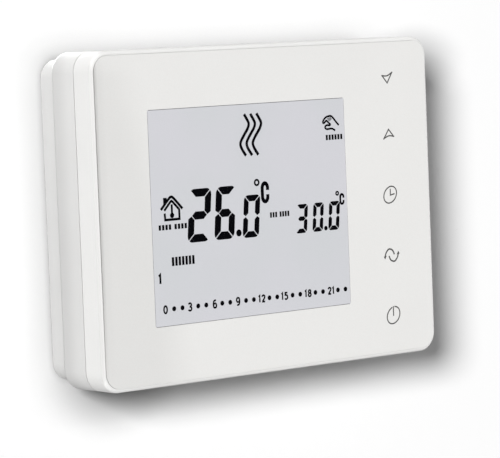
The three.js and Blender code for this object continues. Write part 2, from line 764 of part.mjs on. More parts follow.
function buzzer() {
  const edge = 0.4;
  const mouthDepth = 1;
  return turned([
    [0, 0],
    [BUZZER_RADIUS, 0],
    [BUZZER_RADIUS, BUZZER_HEIGHT - edge],
    [BUZZER_RADIUS - edge, BUZZER_HEIGHT],
    [BUZZER_MOUTH_RADIUS, BUZZER_HEIGHT],
    [BUZZER_MOUTH_RADIUS, BUZZER_HEIGHT - mouthDepth],
    [0, BUZZER_HEIGHT - mouthDepth],
  ], 20);
}

function relay() {
  return slab(roundedRectangle(RELAY_LENGTH, RELAY_WIDTH, RELAY_CORNER), RELAY_HEIGHT, 0, 1);
}

// A bead on two bent leads, over the board's lower edge near the vents.
function thermistor() {
  const half = BEAD_LEAD_WIDTH / 2;
  const bead = new THREE.SphereGeometry(BEAD_RADIUS, 10, 8);
  bead.translate(0, BEAD_HEIGHT, -BEAD_REACH);
  let sensor = solid(bead);
  for (const x of [-BEAD_LEAD_SPREAD, BEAD_LEAD_SPREAD]) {
    sensor = join(
      sensor,
      block(x - half, x + half, 0, BEAD_HEIGHT + half, -half, half),
      block(x - half, x + half, BEAD_HEIGHT - half, BEAD_HEIGHT + half, -BEAD_REACH, 0),
    );
  }
  return sensor;
}

// The spring-loaded conductor between the board and the back of the panel at one touch key.
function touchSpring() {
  const height = boardFront - panelBack - 2 * SEAT_GAP;
  return coil(
    TOUCH_SPRING_BASE_RADIUS,
    TOUCH_SPRING_TIP_RADIUS,
    height,
    TOUCH_SPRING_TURNS,
    TOUCH_SPRING_WIRE,
  );
}

// Three-way socket that the terminal block's blades plug into.
function headerSocket() {
  let socket = block(
    terminalX - socketHalfWidth,
    terminalX + socketHalfWidth,
    boardBack + SEAT_GAP,
    socketBack,
    bladeZ - socketHalfHeight,
    bladeZ + socketHalfHeight,
  );
  for (const x of polesX()) {
    socket = cut(socket, block(
      x - BLADE_WIDTH / 2 - RUNNING,
      x + BLADE_WIDTH / 2 + RUNNING,
      bladeTip - ROOT,
      socketBack + PAST,
      bladeZ - BAR_THICKNESS / 2 - RUNNING,
      bladeZ + BAR_THICKNESS / 2 + RUNNING,
    ));
  }
  return socket;
}

function crystal() {
  const corner = CRYSTAL_WIDTH / 2 - CONTACT_GAP;
  return slab(roundedRectangle(CRYSTAL_LENGTH, CRYSTAL_WIDTH, corner), CRYSTAL_HEIGHT, 0, 3);
}

function addBoard() {
  const seat = boardBack + SEAT_GAP;
  const freeMiddle = (bayTop + BAY_WALL + boardHeight / 2) / 2;
  const touchChipX = boardWidth / 2 - TOUCH_CHIP_WIDTH / 2 - TOUCH_CHIP_LEAD_REACH - TOUCH_CHIP_MARGIN;
  const capacitorX = windowX + CAPACITOR_RIGHT_OF_CHIP;
  const capacitorZ = pocketTop + POCKET_WALL + CAPACITOR_GAP + CAPACITOR_RADIUS;
  place(unit, 'main_board', circuitBoard(), material('board'));
  place(unit, 'microcontroller', chip(CHIP_SIZE, CHIP_SIZE, CHIP_LEAD_REACH),
    material('chip'), windowX, seat, freeMiddle);
  place(unit, 'crystal', crystal(),
    material('steel'), windowX, seat, freeMiddle + CHIP_SIZE);
  place(unit, 'touch_controller', chip(TOUCH_CHIP_WIDTH, CHIP_SIZE, TOUCH_CHIP_LEAD_REACH),
    material('chip'), touchChipX, seat, 0);
  place(unit, 'buzzer', buzzer(),
    material('chip'), windowLeft + BUZZER_INSET, seat, freeMiddle);
  place(unit, 'capacitor_1', capacitor(),
    material('aluminium'), capacitorX, seat, capacitorZ);
  place(unit, 'capacitor_2', capacitor(),
    material('aluminium'), capacitorX, seat, capacitorZ + 2 * CAPACITOR_RADIUS + CAPACITOR_GAP);
  place(unit, 'relay', relay(), material('relay'), relayX, relayBack - RELAY_HEIGHT, relayZ);
  place(unit, 'thermistor', thermistor(), material('chip'),
    (pocketRight + POCKET_WALL + boardWidth / 2) / 2, seat, BEAD_REACH - boardHeight / 2);
  place(unit, 'header_socket', headerSocket(), material('chip'));
  keyHeights.forEach((z, index) => {
    place(unit, `touch_spring_${index + 1}`, touchSpring(), material('steel'),
      keyX, panelBack + SEAT_GAP, z);
  });
}

// ---------------------------------------------------------------- rear case

// An open box standing off the rear case's back wall towards the board.
function tray(left, right, bottom, top, wall, floorFrontY) {
  return block(left - wall, right + wall, floorFrontY, rearFloor + ROOT, bottom - wall, top + wall);
}

function locatingRib() {
  const inset = PLATE_INSET + SKIRT_WALL + LOCATING_CLEARANCE;
  const back = unitBack + LOCATING_RIB_HEIGHT;
  const corner = Math.max(PLATE_CORNER - SKIRT_WALL - LOCATING_CLEARANCE, LOCATING_RIB_WALL + ROOT);
  const outerWidth = BODY_WIDTH - 2 * inset;
  const outerHeight = BODY_HEIGHT - 2 * inset;
  const outer = slab(roundedRectangle(outerWidth, outerHeight, corner), back, rearFloor + ROOT);
  const inner = slab(
    roundedRectangle(
      outerWidth - 2 * LOCATING_RIB_WALL,
      outerHeight - 2 * LOCATING_RIB_WALL,
      corner - LOCATING_RIB_WALL,
    ),
    back + PAST,
    rearFloor - PAST,
  );
  const ribDepth = inset + LOCATING_RIB_WALL + PAST;
  const latchHalf = LATCH_WIDTH / 2 + EAR_WIDTH + 3 * RUNNING;
  const tongueHalf = TONGUE_WIDTH / 2 + 2 * RUNNING;
  const edge = BODY_HEIGHT / 2;
  return cut(
    outer,
    inner,
    block(-latchHalf, latchHalf, unitBack, 0, -edge, -edge + ribDepth),
    ...[-tongueX, tongueX].map((x) => (
      block(x - tongueHalf, x + tongueHalf, unitBack, 0, edge - ribDepth, edge)
    )),
  );
}

function ventSlots() {
  const front = seam + VENT_FROM_SEAM;
  const edge = BODY_HEIGHT / 2;
  const slots = [];
  for (let i = 0; i < VENT_COUNT; i += 1) {
    const x = (i - (VENT_COUNT - 1) / 2) * VENT_PITCH;
    for (const side of [-1, 1]) {
      const near = side * (edge - WALL - ROOT);
      const far = side * (edge + PAST);
      slots.push(block(
        x - VENT_WIDTH / 2,
        x + VENT_WIDTH / 2,
        front,
        front + VENT_LENGTH,
        Math.min(near, far),
        Math.max(near, far),
      ));
    }
  }
  return slots;
}

function rearShell() {
  const outside = filletedSlab(bodyOutline(), unitBack, seam - 2 * BACK_FILLET, BACK_FILLET);
  const inFront = slab(bodyOutline(-PAST), rearFront, seam - 3 * BACK_FILLET);
  const inside = slab(bodyOutline(WALL), rearFloor, seam - PAST, 3);
  const lip = slab(bodyOutline(WALL - LIP_THICKNESS), rearFloor, seam - LIP_HEIGHT, 3);
  const lipHollow = slab(bodyOutline(WALL), seam, seam - 2 * LIP_HEIGHT, 3);
  return join(cut(outside, inFront, inside), cut(lip, inside, lipHollow));
}

function rearCase() {
  const pocket = tray(pocketLeft, pocketRight, pocketBottom, pocketTop, POCKET_WALL, pocketFloorFront);
  const bay = tray(bayLeft, bayRight, bayBottom, bayTop, BAY_WALL, bayFloorFront);
  const domeHalfX = RELAY_LENGTH / 2 + 2 * RUNNING;
  const domeHalfZ = RELAY_WIDTH / 2 + 2 * RUNNING;
  const dome = block(
    relayX - domeHalfX - WALL,
    relayX + domeHalfX + WALL,
    rearFloor + ROOT,
    domeInnerBack + BAY_FLOOR,
    relayZ - domeHalfZ - WALL,
    relayZ + domeHalfZ + WALL,
  );
  const domeHollow = block(
    relayX - domeHalfX,
    relayX + domeHalfX,
    rearFloor - PAST,
    domeInnerBack,
    relayZ - domeHalfZ,
    relayZ + domeHalfZ,
  );
  let shell = join(rearShell(), pocket, bay, dome, locatingRib());
  for (const [x, z] of cornerPlaces(caseScrewX, caseScrewZ)) {
    shell = join(shell, post(x, z, rearBossRadius, rearFloor + ROOT, rearFront));
  }
  shell = cut(
    shell,
    domeHollow,
    block(pocketLeft, pocketRight, pocketFloorBack, 0, pocketBottom, pocketTop),
    block(bayLeft, bayRight, bayFloorBack, 0, bayBottom, bayTop),
    ...ventSlots(),
  );
  for (const [x, z] of cornerPlaces(caseScrewX, caseScrewZ)) {
    const seatLevel = rearFront + WALL;
    shell = cut(
      shell,
      post(x, z, CASE_SCREW_RADIUS + SCREW_CLEARANCE, 0, rearFront - PAST, 16),
      post(x, z, CASE_SCREW_HEAD_RADIUS + RUNNING, 0, seatLevel),
    );
  }
  const divider = block(
    bayLeft + DIVIDER_END_INSET,
    bayRight - DIVIDER_END_INSET,
    bayFloorBack - ROOT,
    bayFloorBack + DIVIDER_HEIGHT,
    (lowerBatteryZ + upperBatteryZ) / 2 - BATTERY_GAP / 4,
    (lowerBatteryZ + upperBatteryZ) / 2 + BATTERY_GAP / 4,
  );
  return cut(join(shell, divider), ...rearCaseOpenings());
}

// The slots that the wall plate's tongues, latch and blades reach through, and the solder tails'.
function rearCaseOpenings() {
  const tongueHalf = TONGUE_WIDTH / 2 + RUNNING;
  const tongueZ = skirtInner - RUNNING - TONGUE_THICKNESS / 2;
  const tongueHalfZ = TONGUE_THICKNESS / 2 + RUNNING;
  const socketHalf = socketHalfWidth + RUNNING;
  const socketHalfZ = socketHalfHeight + RUNNING;
  const openings = [-tongueX, tongueX].map((x) => block(
    x - tongueHalf,
    x + tongueHalf,
    rearFloor - ROOT,
    0,
    tongueZ - tongueHalfZ,
    tongueZ + tongueHalfZ,
  ));
  openings.push(block(
    -LATCH_WIDTH / 2 - RUNNING,
    LATCH_WIDTH / 2 + RUNNING,
    rearFloor - ROOT,
    0,
    latchBottom - RUNNING,
    latchSlotTop,
  ));
  openings.push(block(
    terminalX - socketHalf,
    terminalX + socketHalf,
    pocketFloorFront - PAST,
    pocketFloorBack + PAST,
    bladeZ - socketHalfZ,
    bladeZ + socketHalfZ,
  ));
  for (const z of [lowerBatteryZ, upperBatteryZ]) {
    openings.push(block(
      terminalContactX - RUNNING,
      bayRight,
      bayFloorFront - PAST,
      bayFloorBack + PAST,
      z - TAIL_HALF_WIDTH - RUNNING,
      z + TAIL_HALF_WIDTH + RUNNING,
    ));
  }
  return openings;
}

// ---------------------------------------------------------------- batteries

// One cell about its own centre, with its positive nub towards +X.
function battery() {
  const half = BATTERY_LENGTH / 2;
  const dish = 0.2;
  const shoulder = half - NUB_HEIGHT;
  const alongY = turned([
    [0, -half + dish],
    [CELL_END_RADIUS - dish, -half + dish],
    [CELL_END_RADIUS, -half],
    [BATTERY_RADIUS - CELL_EDGE, -half],
    [BATTERY_RADIUS, -half + CELL_EDGE],
    [BATTERY_RADIUS, shoulder - CELL_EDGE],
    [BATTERY_RADIUS - CELL_EDGE, shoulder],
    [NUB_RADIUS, shoulder],
    [NUB_RADIUS, half],
    [0, half],
  ], 24);
  return alongY.rotate([0, 0, -90]);
}

function contactPlate(centreZ, halfHeight) {
  return block(
    0,
    CONTACT_THICKNESS,
    bayFloorBack + CONTACT_SEAT,
    batteryY + CONTACT_HALF_HEIGHT,
    centreZ - halfHeight,
    centreZ + halfHeight,
  );
}

// A conical battery spring from a plate at x = 0, reaching towards +X or -X.
function batterySpring(direction) {
  const reach = SPRING_ROOM - CONTACT_SEAT + SPRING_WIRE / 2;
  const upright = coil(SPRING_BASE_RADIUS, SPRING_TIP_RADIUS, reach, SPRING_TURNS, SPRING_WIRE);
  return upright.rotate([0, 0, -90 * direction]);
}

function solderTail(z) {
  return block(
    0,
    CONTACT_THICKNESS,
    boardBack + SEAT_GAP,
    bayFloorBack + ROOT,
    z - TAIL_HALF_WIDTH,
    z + TAIL_HALF_WIDTH,
  );
}

function addBatteries() {
  const upperX = batteryRightStop - BATTERY_LENGTH / 2;
  const lowerX = batteryLeftStop + BATTERY_LENGTH / 2;
  const reachIn = SPRING_WIRE / 2;
  place(unit, 'battery_1', battery(), material('cell'), upperX, batteryY, upperBatteryZ);
  place(unit, 'battery_2', battery().rotate([0, 0, 180]), material('cell'),
    lowerX, batteryY, lowerBatteryZ);
  const middle = (upperBatteryZ + lowerBatteryZ) / 2;
  const link = join(
    contactPlate(middle, upperBatteryZ - middle + CONTACT_HALF_HEIGHT),
    batterySpring(1).translate([CONTACT_THICKNESS - reachIn, batteryY, upperBatteryZ]),
  );
  place(unit, 'battery_link_contact', link, material('steel'), linkX, 0, 0);
  const positive = join(contactPlate(upperBatteryZ, CONTACT_HALF_HEIGHT), solderTail(upperBatteryZ));
  place(unit, 'battery_positive_contact', positive, material('steel'), terminalContactX, 0, 0);
  const negative = join(
    contactPlate(lowerBatteryZ, CONTACT_HALF_HEIGHT),
    solderTail(lowerBatteryZ),
    batterySpring(-1).translate([reachIn, batteryY, lowerBatteryZ]),
  );
  place(unit, 'battery_negative_contact', negative, material('steel'), terminalContactX, 0, 0);
}

// ---------------------------------------------------------------- screws

// A pan-head screw about its own axis: the head's seat is at y = 0 and the shank points to -Y.
function panScrew(headRadius, shankRadius, length) {
  const body = turned([
    [0, -length],
    [shankRadius - SCREW_POINT / 2, -length],
    [shankRadius, -length + SCREW_POINT],
    [shankRadius, 0],
    [headRadius, 0],
    [headRadius, HEAD_HEIGHT / 2],
    [headRadius - HEAD_EDGE, HEAD_HEIGHT],
    [0, HEAD_HEIGHT],
  ], 16);
  const arm = headRadius - 2 * HEAD_EDGE;
  const half = CROSS_SLOT_HALF_WIDTH;
  const floor = HEAD_HEIGHT / 2;
  return cut(
    body,
    block(-arm, arm, floor, HEAD_HEIGHT + PAST, -half, half),
    block(-half, half, floor, HEAD_HEIGHT + PAST, -arm, arm),
  );
}

function addScrews() {
  const seatLevel = rearFront + WALL + SEAT_GAP;
  cornerPlaces(caseScrewX, caseScrewZ).forEach(([x, z], index) => {
    place(unit, `case_screw_${index + 1}`,
      panScrew(CASE_SCREW_HEAD_RADIUS, CASE_SCREW_RADIUS, CASE_SCREW_LENGTH),
      material('steel'), x, seatLevel, z);
  });
  boardPosts.forEach(([x, z], index) => {
    place(unit, `board_screw_${index + 1}`,
      panScrew(BOARD_SCREW_HEAD_RADIUS, BOARD_SCREW_RADIUS, BOARD_SCREW_LENGTH),
      material('steel'), x, boardBack + SEAT_GAP, z);
  });
}

// ---------------------------------------------------------------- wall plate

function screwSlot(x) {
  const shape = new THREE.Shape();
  const end = SCREW_SLOT_WIDTH / 2;
  const reach = SCREW_SLOT_LENGTH / 2 - end;
  shape.absarc(x + reach, SCREW_SLOT_HEIGHT, end, -Math.PI / 2, Math.PI / 2);
  shape.absarc(x - reach, SCREW_SLOT_HEIGHT, end, Math.PI / 2, 1.5 * Math.PI);
  return slab(shape, PAST, baseFront - PAST, 6);
}

function wallPlate() {
  const outline = roundedRectangle(plateWidth, plateHeight, PLATE_CORNER);
  const hollow = roundedRectangle(
    plateWidth - 2 * SKIRT_WALL,
    plateHeight - 2 * SKIRT_WALL,
    PLATE_CORNER - SKIRT_WALL,
  );
  const cable = roundedRectangle(
    cableWidth,
    CABLE_OPENING_HEIGHT,
    CABLE_OPENING_CORNER,
    terminalX,
    cableTop - CABLE_OPENING_HEIGHT / 2,
  );
  let plate = cut(
    slab(outline, 0, plateFront, 4),
    slab(hollow, baseFront, plateFront - PAST, 3),
    slab(cable, PAST, baseFront - PAST),
    screwSlot(-SCREW_SLOT_SPACING / 2),
    screwSlot(SCREW_SLOT_SPACING / 2),
  );
  const holeX = plateWidth / 2 - CORNER_HOLE_INSET_X;
  const holeZ = plateHeight / 2 - CORNER_HOLE_INSET_Z;
  for (const [x, z] of cornerPlaces(holeX, holeZ)) {
    plate = cut(plate, post(x, z, CORNER_HOLE_RADIUS, PAST, baseFront - PAST, 16));
  }
  return cut(join(plate, ...plateFittings()), ...latchCuts());
}

// Tongues at the top, rails beside the terminal block, and the latch's two ears.
function plateFittings() {
  const root = baseFront + ROOT;
  const tongueTop = skirtInner - RUNNING;
  const fittings = [-tongueX, tongueX].map((x) => block(
    x - TONGUE_WIDTH / 2,
    x + TONGUE_WIDTH / 2,
    unitBack - ENGAGEMENT,
    root,
    tongueTop - TONGUE_THICKNESS,
    tongueTop,
  ));
  for (const side of [-1, 1]) {
    const near = terminalX + side * (terminalWidth / 2 + RUNNING);
    const far = near + side * RAIL_WALL;
    fittings.push(block(
      Math.min(near, far),
      Math.max(near, far),
      baseFront - RAIL_HEIGHT,
      root,
      terminalBottom + RAIL_END_INSET,
      terminalTop - RAIL_END_INSET,
    ));
    const earNear = side * (LATCH_WIDTH / 2 + RUNNING);
    const earFar = earNear + side * EAR_WIDTH;
    fittings.push(block(
      Math.min(earNear, earFar),
      Math.max(earNear, earFar),
      latchPivotY - LATCH_BARREL_RADIUS,
      root,
      -skirtInner - ROOT,
      latchPivotZ + LATCH_BARREL_RADIUS + EAR_TOP_WALL,
    ));
  }
  return fittings;
}

function latchCuts() {
  const half = LATCH_WIDTH / 2 + RUNNING;
  const notch = block(
    -half,
    half,
    plateFront - PAST,
    baseFront,
    -plateHeight / 2 - PAST,
    latchPivotZ + LATCH_BARREL_RADIUS,
  );
  const pinHole = axle(
    LATCH_PIN_RADIUS + LATCH_PIN_CLEARANCE,
    -half - EAR_WIDTH - PAST,
    half + EAR_WIDTH + PAST,
    latchPivotY,
    latchPivotZ,
  );
  return [notch, pinHole];
}

// ---------------------------------------------------------------- release latch

function releaseLatch() {
  const half = LATCH_WIDTH / 2;
  const arm = block(-half, half, latchTip, latchPivotY, latchBottom, latchTop);
  const springLeft = half - LATCH_SPRING_ROOM;
  const barrel = axle(LATCH_BARREL_RADIUS, -half, springLeft, latchPivotY, latchPivotZ, 20);
  const springSpace = block(
    springLeft,
    half + PAST,
    latchPivotY - LATCH_BARREL_RADIUS - RUNNING,
    0,
    latchBottom - PAST,
    latchTop + PAST,
  );
  const boreRadius = LATCH_PIN_RADIUS + LATCH_BORE_CLEARANCE;
  const bore = axle(boreRadius, -half - PAST, half + PAST, latchPivotY, latchPivotZ);
  return cut(join(arm, barrel), springSpace, bore);
}

function latchPin() {
  const half = LATCH_WIDTH / 2 + RUNNING + EAR_WIDTH - CONTACT_GAP;
  return axle(LATCH_PIN_RADIUS, -half, half, latchPivotY, latchPivotZ);
}

// A torsion spring around the latch pin, with a leg on the arm and a leg towards the plate.
function latchSpring() {
  const wire = LATCH_SPRING_WIRE;
  const winding = LATCH_SPRING_RADIUS;
  const length = LATCH_SPRING_ROOM - 4 * wire;
  const along = coil(winding, winding, length, LATCH_SPRING_TURNS, wire).rotate([0, 0, 90]);
  const legRadius = 0.8 * (wire / 2);
  const armLeg = post(0, 0, legRadius, wire, -LATCH_SPRING_ARM_LEG, 8);
  const plateLeg = post(0, 0, legRadius, wire, -LATCH_SPRING_PLATE_LEG, 8).rotate([90, 0, 0]);
  return join(
    along.translate([length, 0, 0]),
    armLeg.translate([wire / 2, 0, winding]),
    plateLeg.translate([length - wire / 2, winding, 0]),
  );
}

function addLatch() {
  place(wallSide, 'release_latch', releaseLatch(), material('shell'));
  place(wallSide, 'latch_pin', latchPin(), material('steel'));
  place(wallSide, 'latch_spring', latchSpring(), material('steel'),
    LATCH_WIDTH / 2 - LATCH_SPRING_ROOM + LATCH_SPRING_END_GAP, latchPivotY, latchPivotZ);
}

// ---------------------------------------------------------------- terminals

function terminalBlock() {
  const left = terminalX - terminalWidth / 2;
  const right = terminalX + terminalWidth / 2;
  let body = join(
    block(left, right, terminalFront, terminalBack, terminalMid, terminalTop),
    block(left, right, stepFront, terminalBack, terminalBottom, terminalMid + ROOT),
  );
  const halfClamp = CLAMP_WIDTH / 2 + CLAMP_SIDE_CLEARANCE;
  const halfBar = CLAMP_WIDTH / 2 - CLAMP_WALL;
  const halfBlade = BLADE_WIDTH / 2 + BAR_CLEARANCE;
  const cavityBottom = clampZ - CLAMP_LENGTH / 2 - RUNNING;
  const bladeSlotTop = bladeZ + BAR_THICKNESS / 2 + BAR_CLEARANCE;
  const low = terminalBottom - PAST;
  for (const x of polesX()) {
    body = cut(
      body,
      block(x - halfClamp, x + halfClamp, cavityFront, cavityBack, cavityBottom, terminalTop + PAST),
      post(x, clampZ, TERMINAL_HEAD_RADIUS + TERMINAL_HOLE_CLEARANCE, recessFloor, terminalFront - PAST),
      post(x, clampZ, TERMINAL_SCREW_RADIUS + TERMINAL_HOLE_CLEARANCE, cavityFront + ROOT,
        recessFloor - ROOT, 16),
      block(x - halfBar, x + halfBar, barFront - BAR_CLEARANCE, barBack + BAR_CLEARANCE, low, clampZ),
      block(x - halfBlade, x + halfBlade, stepFront - PAST, barFront, low, bladeSlotTop),
    );
  }
  return body;
}

// A square cage threaded on its screw, about the middle of its front wall's hole.
function terminalClamp() {
  const half = CLAMP_WIDTH / 2;
  const halfWindow = half - CLAMP_WALL;
  const halfLength = CLAMP_LENGTH / 2;
  const depth = clampBack - clampFront;
  return cut(
    block(-half, half, 0, depth, -halfLength, halfLength),
    block(-halfWindow, halfWindow, CLAMP_FRONT_WALL, CLAMP_FRONT_WALL + CLAMP_WINDOW,
      -halfLength - PAST, halfLength + PAST),
    post(0, 0, TERMINAL_SCREW_RADIUS + THREAD_CLEARANCE, CLAMP_FRONT_WALL + PAST, -PAST, 16),
  );
}

// A slotted screw about its own axis: the head's seat is at y = 0 and the shank points to +Y.
function terminalScrew() {
  const length = clampInnerFront - recessFloor - SEAT_GAP;
  const body = turned([
    [0, -TERMINAL_HEAD_HEIGHT],
    [TERMINAL_HEAD_RADIUS - TERMINAL_HEAD_EDGE, -TERMINAL_HEAD_HEIGHT],
    [TERMINAL_HEAD_RADIUS, -TERMINAL_HEAD_HEIGHT + TERMINAL_HEAD_EDGE],
    [TERMINAL_HEAD_RADIUS, 0],
    [TERMINAL_SCREW_RADIUS, 0],
    [TERMINAL_SCREW_RADIUS, length],
    [0, length],
  ], 16);
  return cut(body, block(
    -TERMINAL_HEAD_RADIUS,
    TERMINAL_HEAD_RADIUS,
    -TERMINAL_HEAD_HEIGHT - PAST,
    -TERMINAL_HEAD_HEIGHT + TERMINAL_SLOT_DEPTH,
    -TERMINAL_SCREW_SLOT / 2,
    TERMINAL_SCREW_SLOT / 2,
  ));
}

// A current bar through the clamp, bent forward at its lower end into the plug blade.
function contactBlade() {
  const halfBar = CLAMP_WIDTH / 2 - CLAMP_WALL - CLAMP_SIDE_CLEARANCE;
  const halfBlade = BLADE_WIDTH / 2;
  const bottom = bladeZ - BAR_THICKNESS / 2;
  return join(
    block(-halfBar, halfBar, barFront, barBack, bottom, clampZ + CLAMP_LENGTH / 2),
    block(-halfBlade, halfBlade, bladeTip, barFront + BAR_SEAT, bottom, bottom + BAR_THICKNESS),
  );
}

function addTerminals() {
  place(wallSide, 'terminal_block', terminalBlock(), material('terminal'));
  polesX().forEach((x, index) => {
    const number = index + 1;
    place(wallSide, `terminal_clamp_${number}`, terminalClamp(), material('steel'),
      x, clampFront, clampZ);
    place(wallSide, `terminal_screw_${number}`, terminalScrew(), material('steel'),
      x, recessFloor - TERMINAL_HEAD_SEAT, clampZ);
    place(wallSide, `contact_blade_${number}`, contactBlade(), material('brass'), x, 0, 0);
  });
}

// ---------------------------------------------------------------- assembly

place(wallSide, 'wall_plate', wallPlate(), material('shell'));
addTerminals();
addLatch();

place(unit, 'front_case', frontCase(), material('shell'));
place(unit, 'front_panel', frontPanel(), material('panel'));
place(unit, 'display_window', displayWindow(), material('glass'));
place(unit, 'rear_case', rearCase(), material('shell'));
addDisplay();
addBoard();
addBatteries();
addScrews();

export default thermostat;
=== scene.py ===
# Wall thermostat: surfaces, printed and displayed marks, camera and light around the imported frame.
# Lengths are written in millimetres, but for the camera's, and become metres where a mesh is
# made.

import json
import math

import bmesh
import bpy
from mathutils import Matrix, Vector

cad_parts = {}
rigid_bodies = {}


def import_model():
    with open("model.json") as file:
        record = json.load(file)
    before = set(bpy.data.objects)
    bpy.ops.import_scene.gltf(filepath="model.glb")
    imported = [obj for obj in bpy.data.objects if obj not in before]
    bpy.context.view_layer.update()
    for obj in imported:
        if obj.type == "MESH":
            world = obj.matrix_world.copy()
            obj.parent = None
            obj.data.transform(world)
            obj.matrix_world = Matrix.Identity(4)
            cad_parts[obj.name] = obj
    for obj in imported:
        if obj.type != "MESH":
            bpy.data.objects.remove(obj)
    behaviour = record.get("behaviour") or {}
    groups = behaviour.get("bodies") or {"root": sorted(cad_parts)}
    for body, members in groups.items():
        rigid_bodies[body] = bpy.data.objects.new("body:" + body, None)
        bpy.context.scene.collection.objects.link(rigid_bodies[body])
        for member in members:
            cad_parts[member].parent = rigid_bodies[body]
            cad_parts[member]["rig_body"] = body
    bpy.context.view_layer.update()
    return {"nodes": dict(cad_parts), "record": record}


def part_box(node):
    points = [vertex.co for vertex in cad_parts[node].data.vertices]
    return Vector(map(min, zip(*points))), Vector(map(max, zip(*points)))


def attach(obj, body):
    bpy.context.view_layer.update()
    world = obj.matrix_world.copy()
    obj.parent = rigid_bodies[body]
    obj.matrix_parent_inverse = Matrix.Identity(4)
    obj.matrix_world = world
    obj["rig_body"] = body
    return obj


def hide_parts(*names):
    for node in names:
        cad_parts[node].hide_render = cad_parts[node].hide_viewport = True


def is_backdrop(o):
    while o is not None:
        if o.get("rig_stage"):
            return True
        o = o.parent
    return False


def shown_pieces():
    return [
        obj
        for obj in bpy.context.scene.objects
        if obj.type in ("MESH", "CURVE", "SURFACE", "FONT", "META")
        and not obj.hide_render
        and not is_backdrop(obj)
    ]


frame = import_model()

MM = 0.001
nodes = frame["nodes"]
scene = bpy.context.scene


def box_mm(node):
    """A CAD node's lowest and highest corners at rest, in millimetres."""
    low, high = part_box(node)
    return low / MM, high / MM


# ---------------------------------------------------------------- camera

# The place and the clip distances are in metres, the lens and the sensor in millimetres.
CAMERA_PLACE = Vector((-0.52522, -0.64645, 0.05376))
CAMERA_RIGHT = Vector((0.76628, -0.64133, -0.03883))
CAMERA_UP = Vector((0.07636, 0.03089, 0.99660))
CAMERA_LENS = 214.62
SENSOR_WIDTH = 36.0
CLIP_NEAR, CLIP_FAR = 0.01, 50.0


def add_camera():
    """The camera at the photo's place and viewing angle."""
    data = bpy.data.cameras.new("camera")
    data.sensor_width = SENSOR_WIDTH
    data.lens = CAMERA_LENS
    data.clip_start = CLIP_NEAR
    data.clip_end = CLIP_FAR
    camera = bpy.data.objects.new("camera", data)
    back = CAMERA_RIGHT.cross(CAMERA_UP).normalized()
    up = back.cross(CAMERA_RIGHT).normalized()
    placed = Matrix((up.cross(back), up, back)).transposed().to_4x4()
    placed.translation = CAMERA_PLACE
    camera.matrix_world = placed
    scene.collection.objects.link(camera)
    scene.camera = camera


# ---------------------------------------------------------------- materials

# The range in which nearly all of a noise node's values lie, and the one for most of them.
NOISE_LOW, NOISE_HIGH = 0.3, 0.7
MOST_LOW, MOST_HIGH = 0.35, 0.65
# A mix node's colour sockets, which share their names with its number sockets.
MIX_COLOURS = (6, 7)
MIX_RESULT = 2


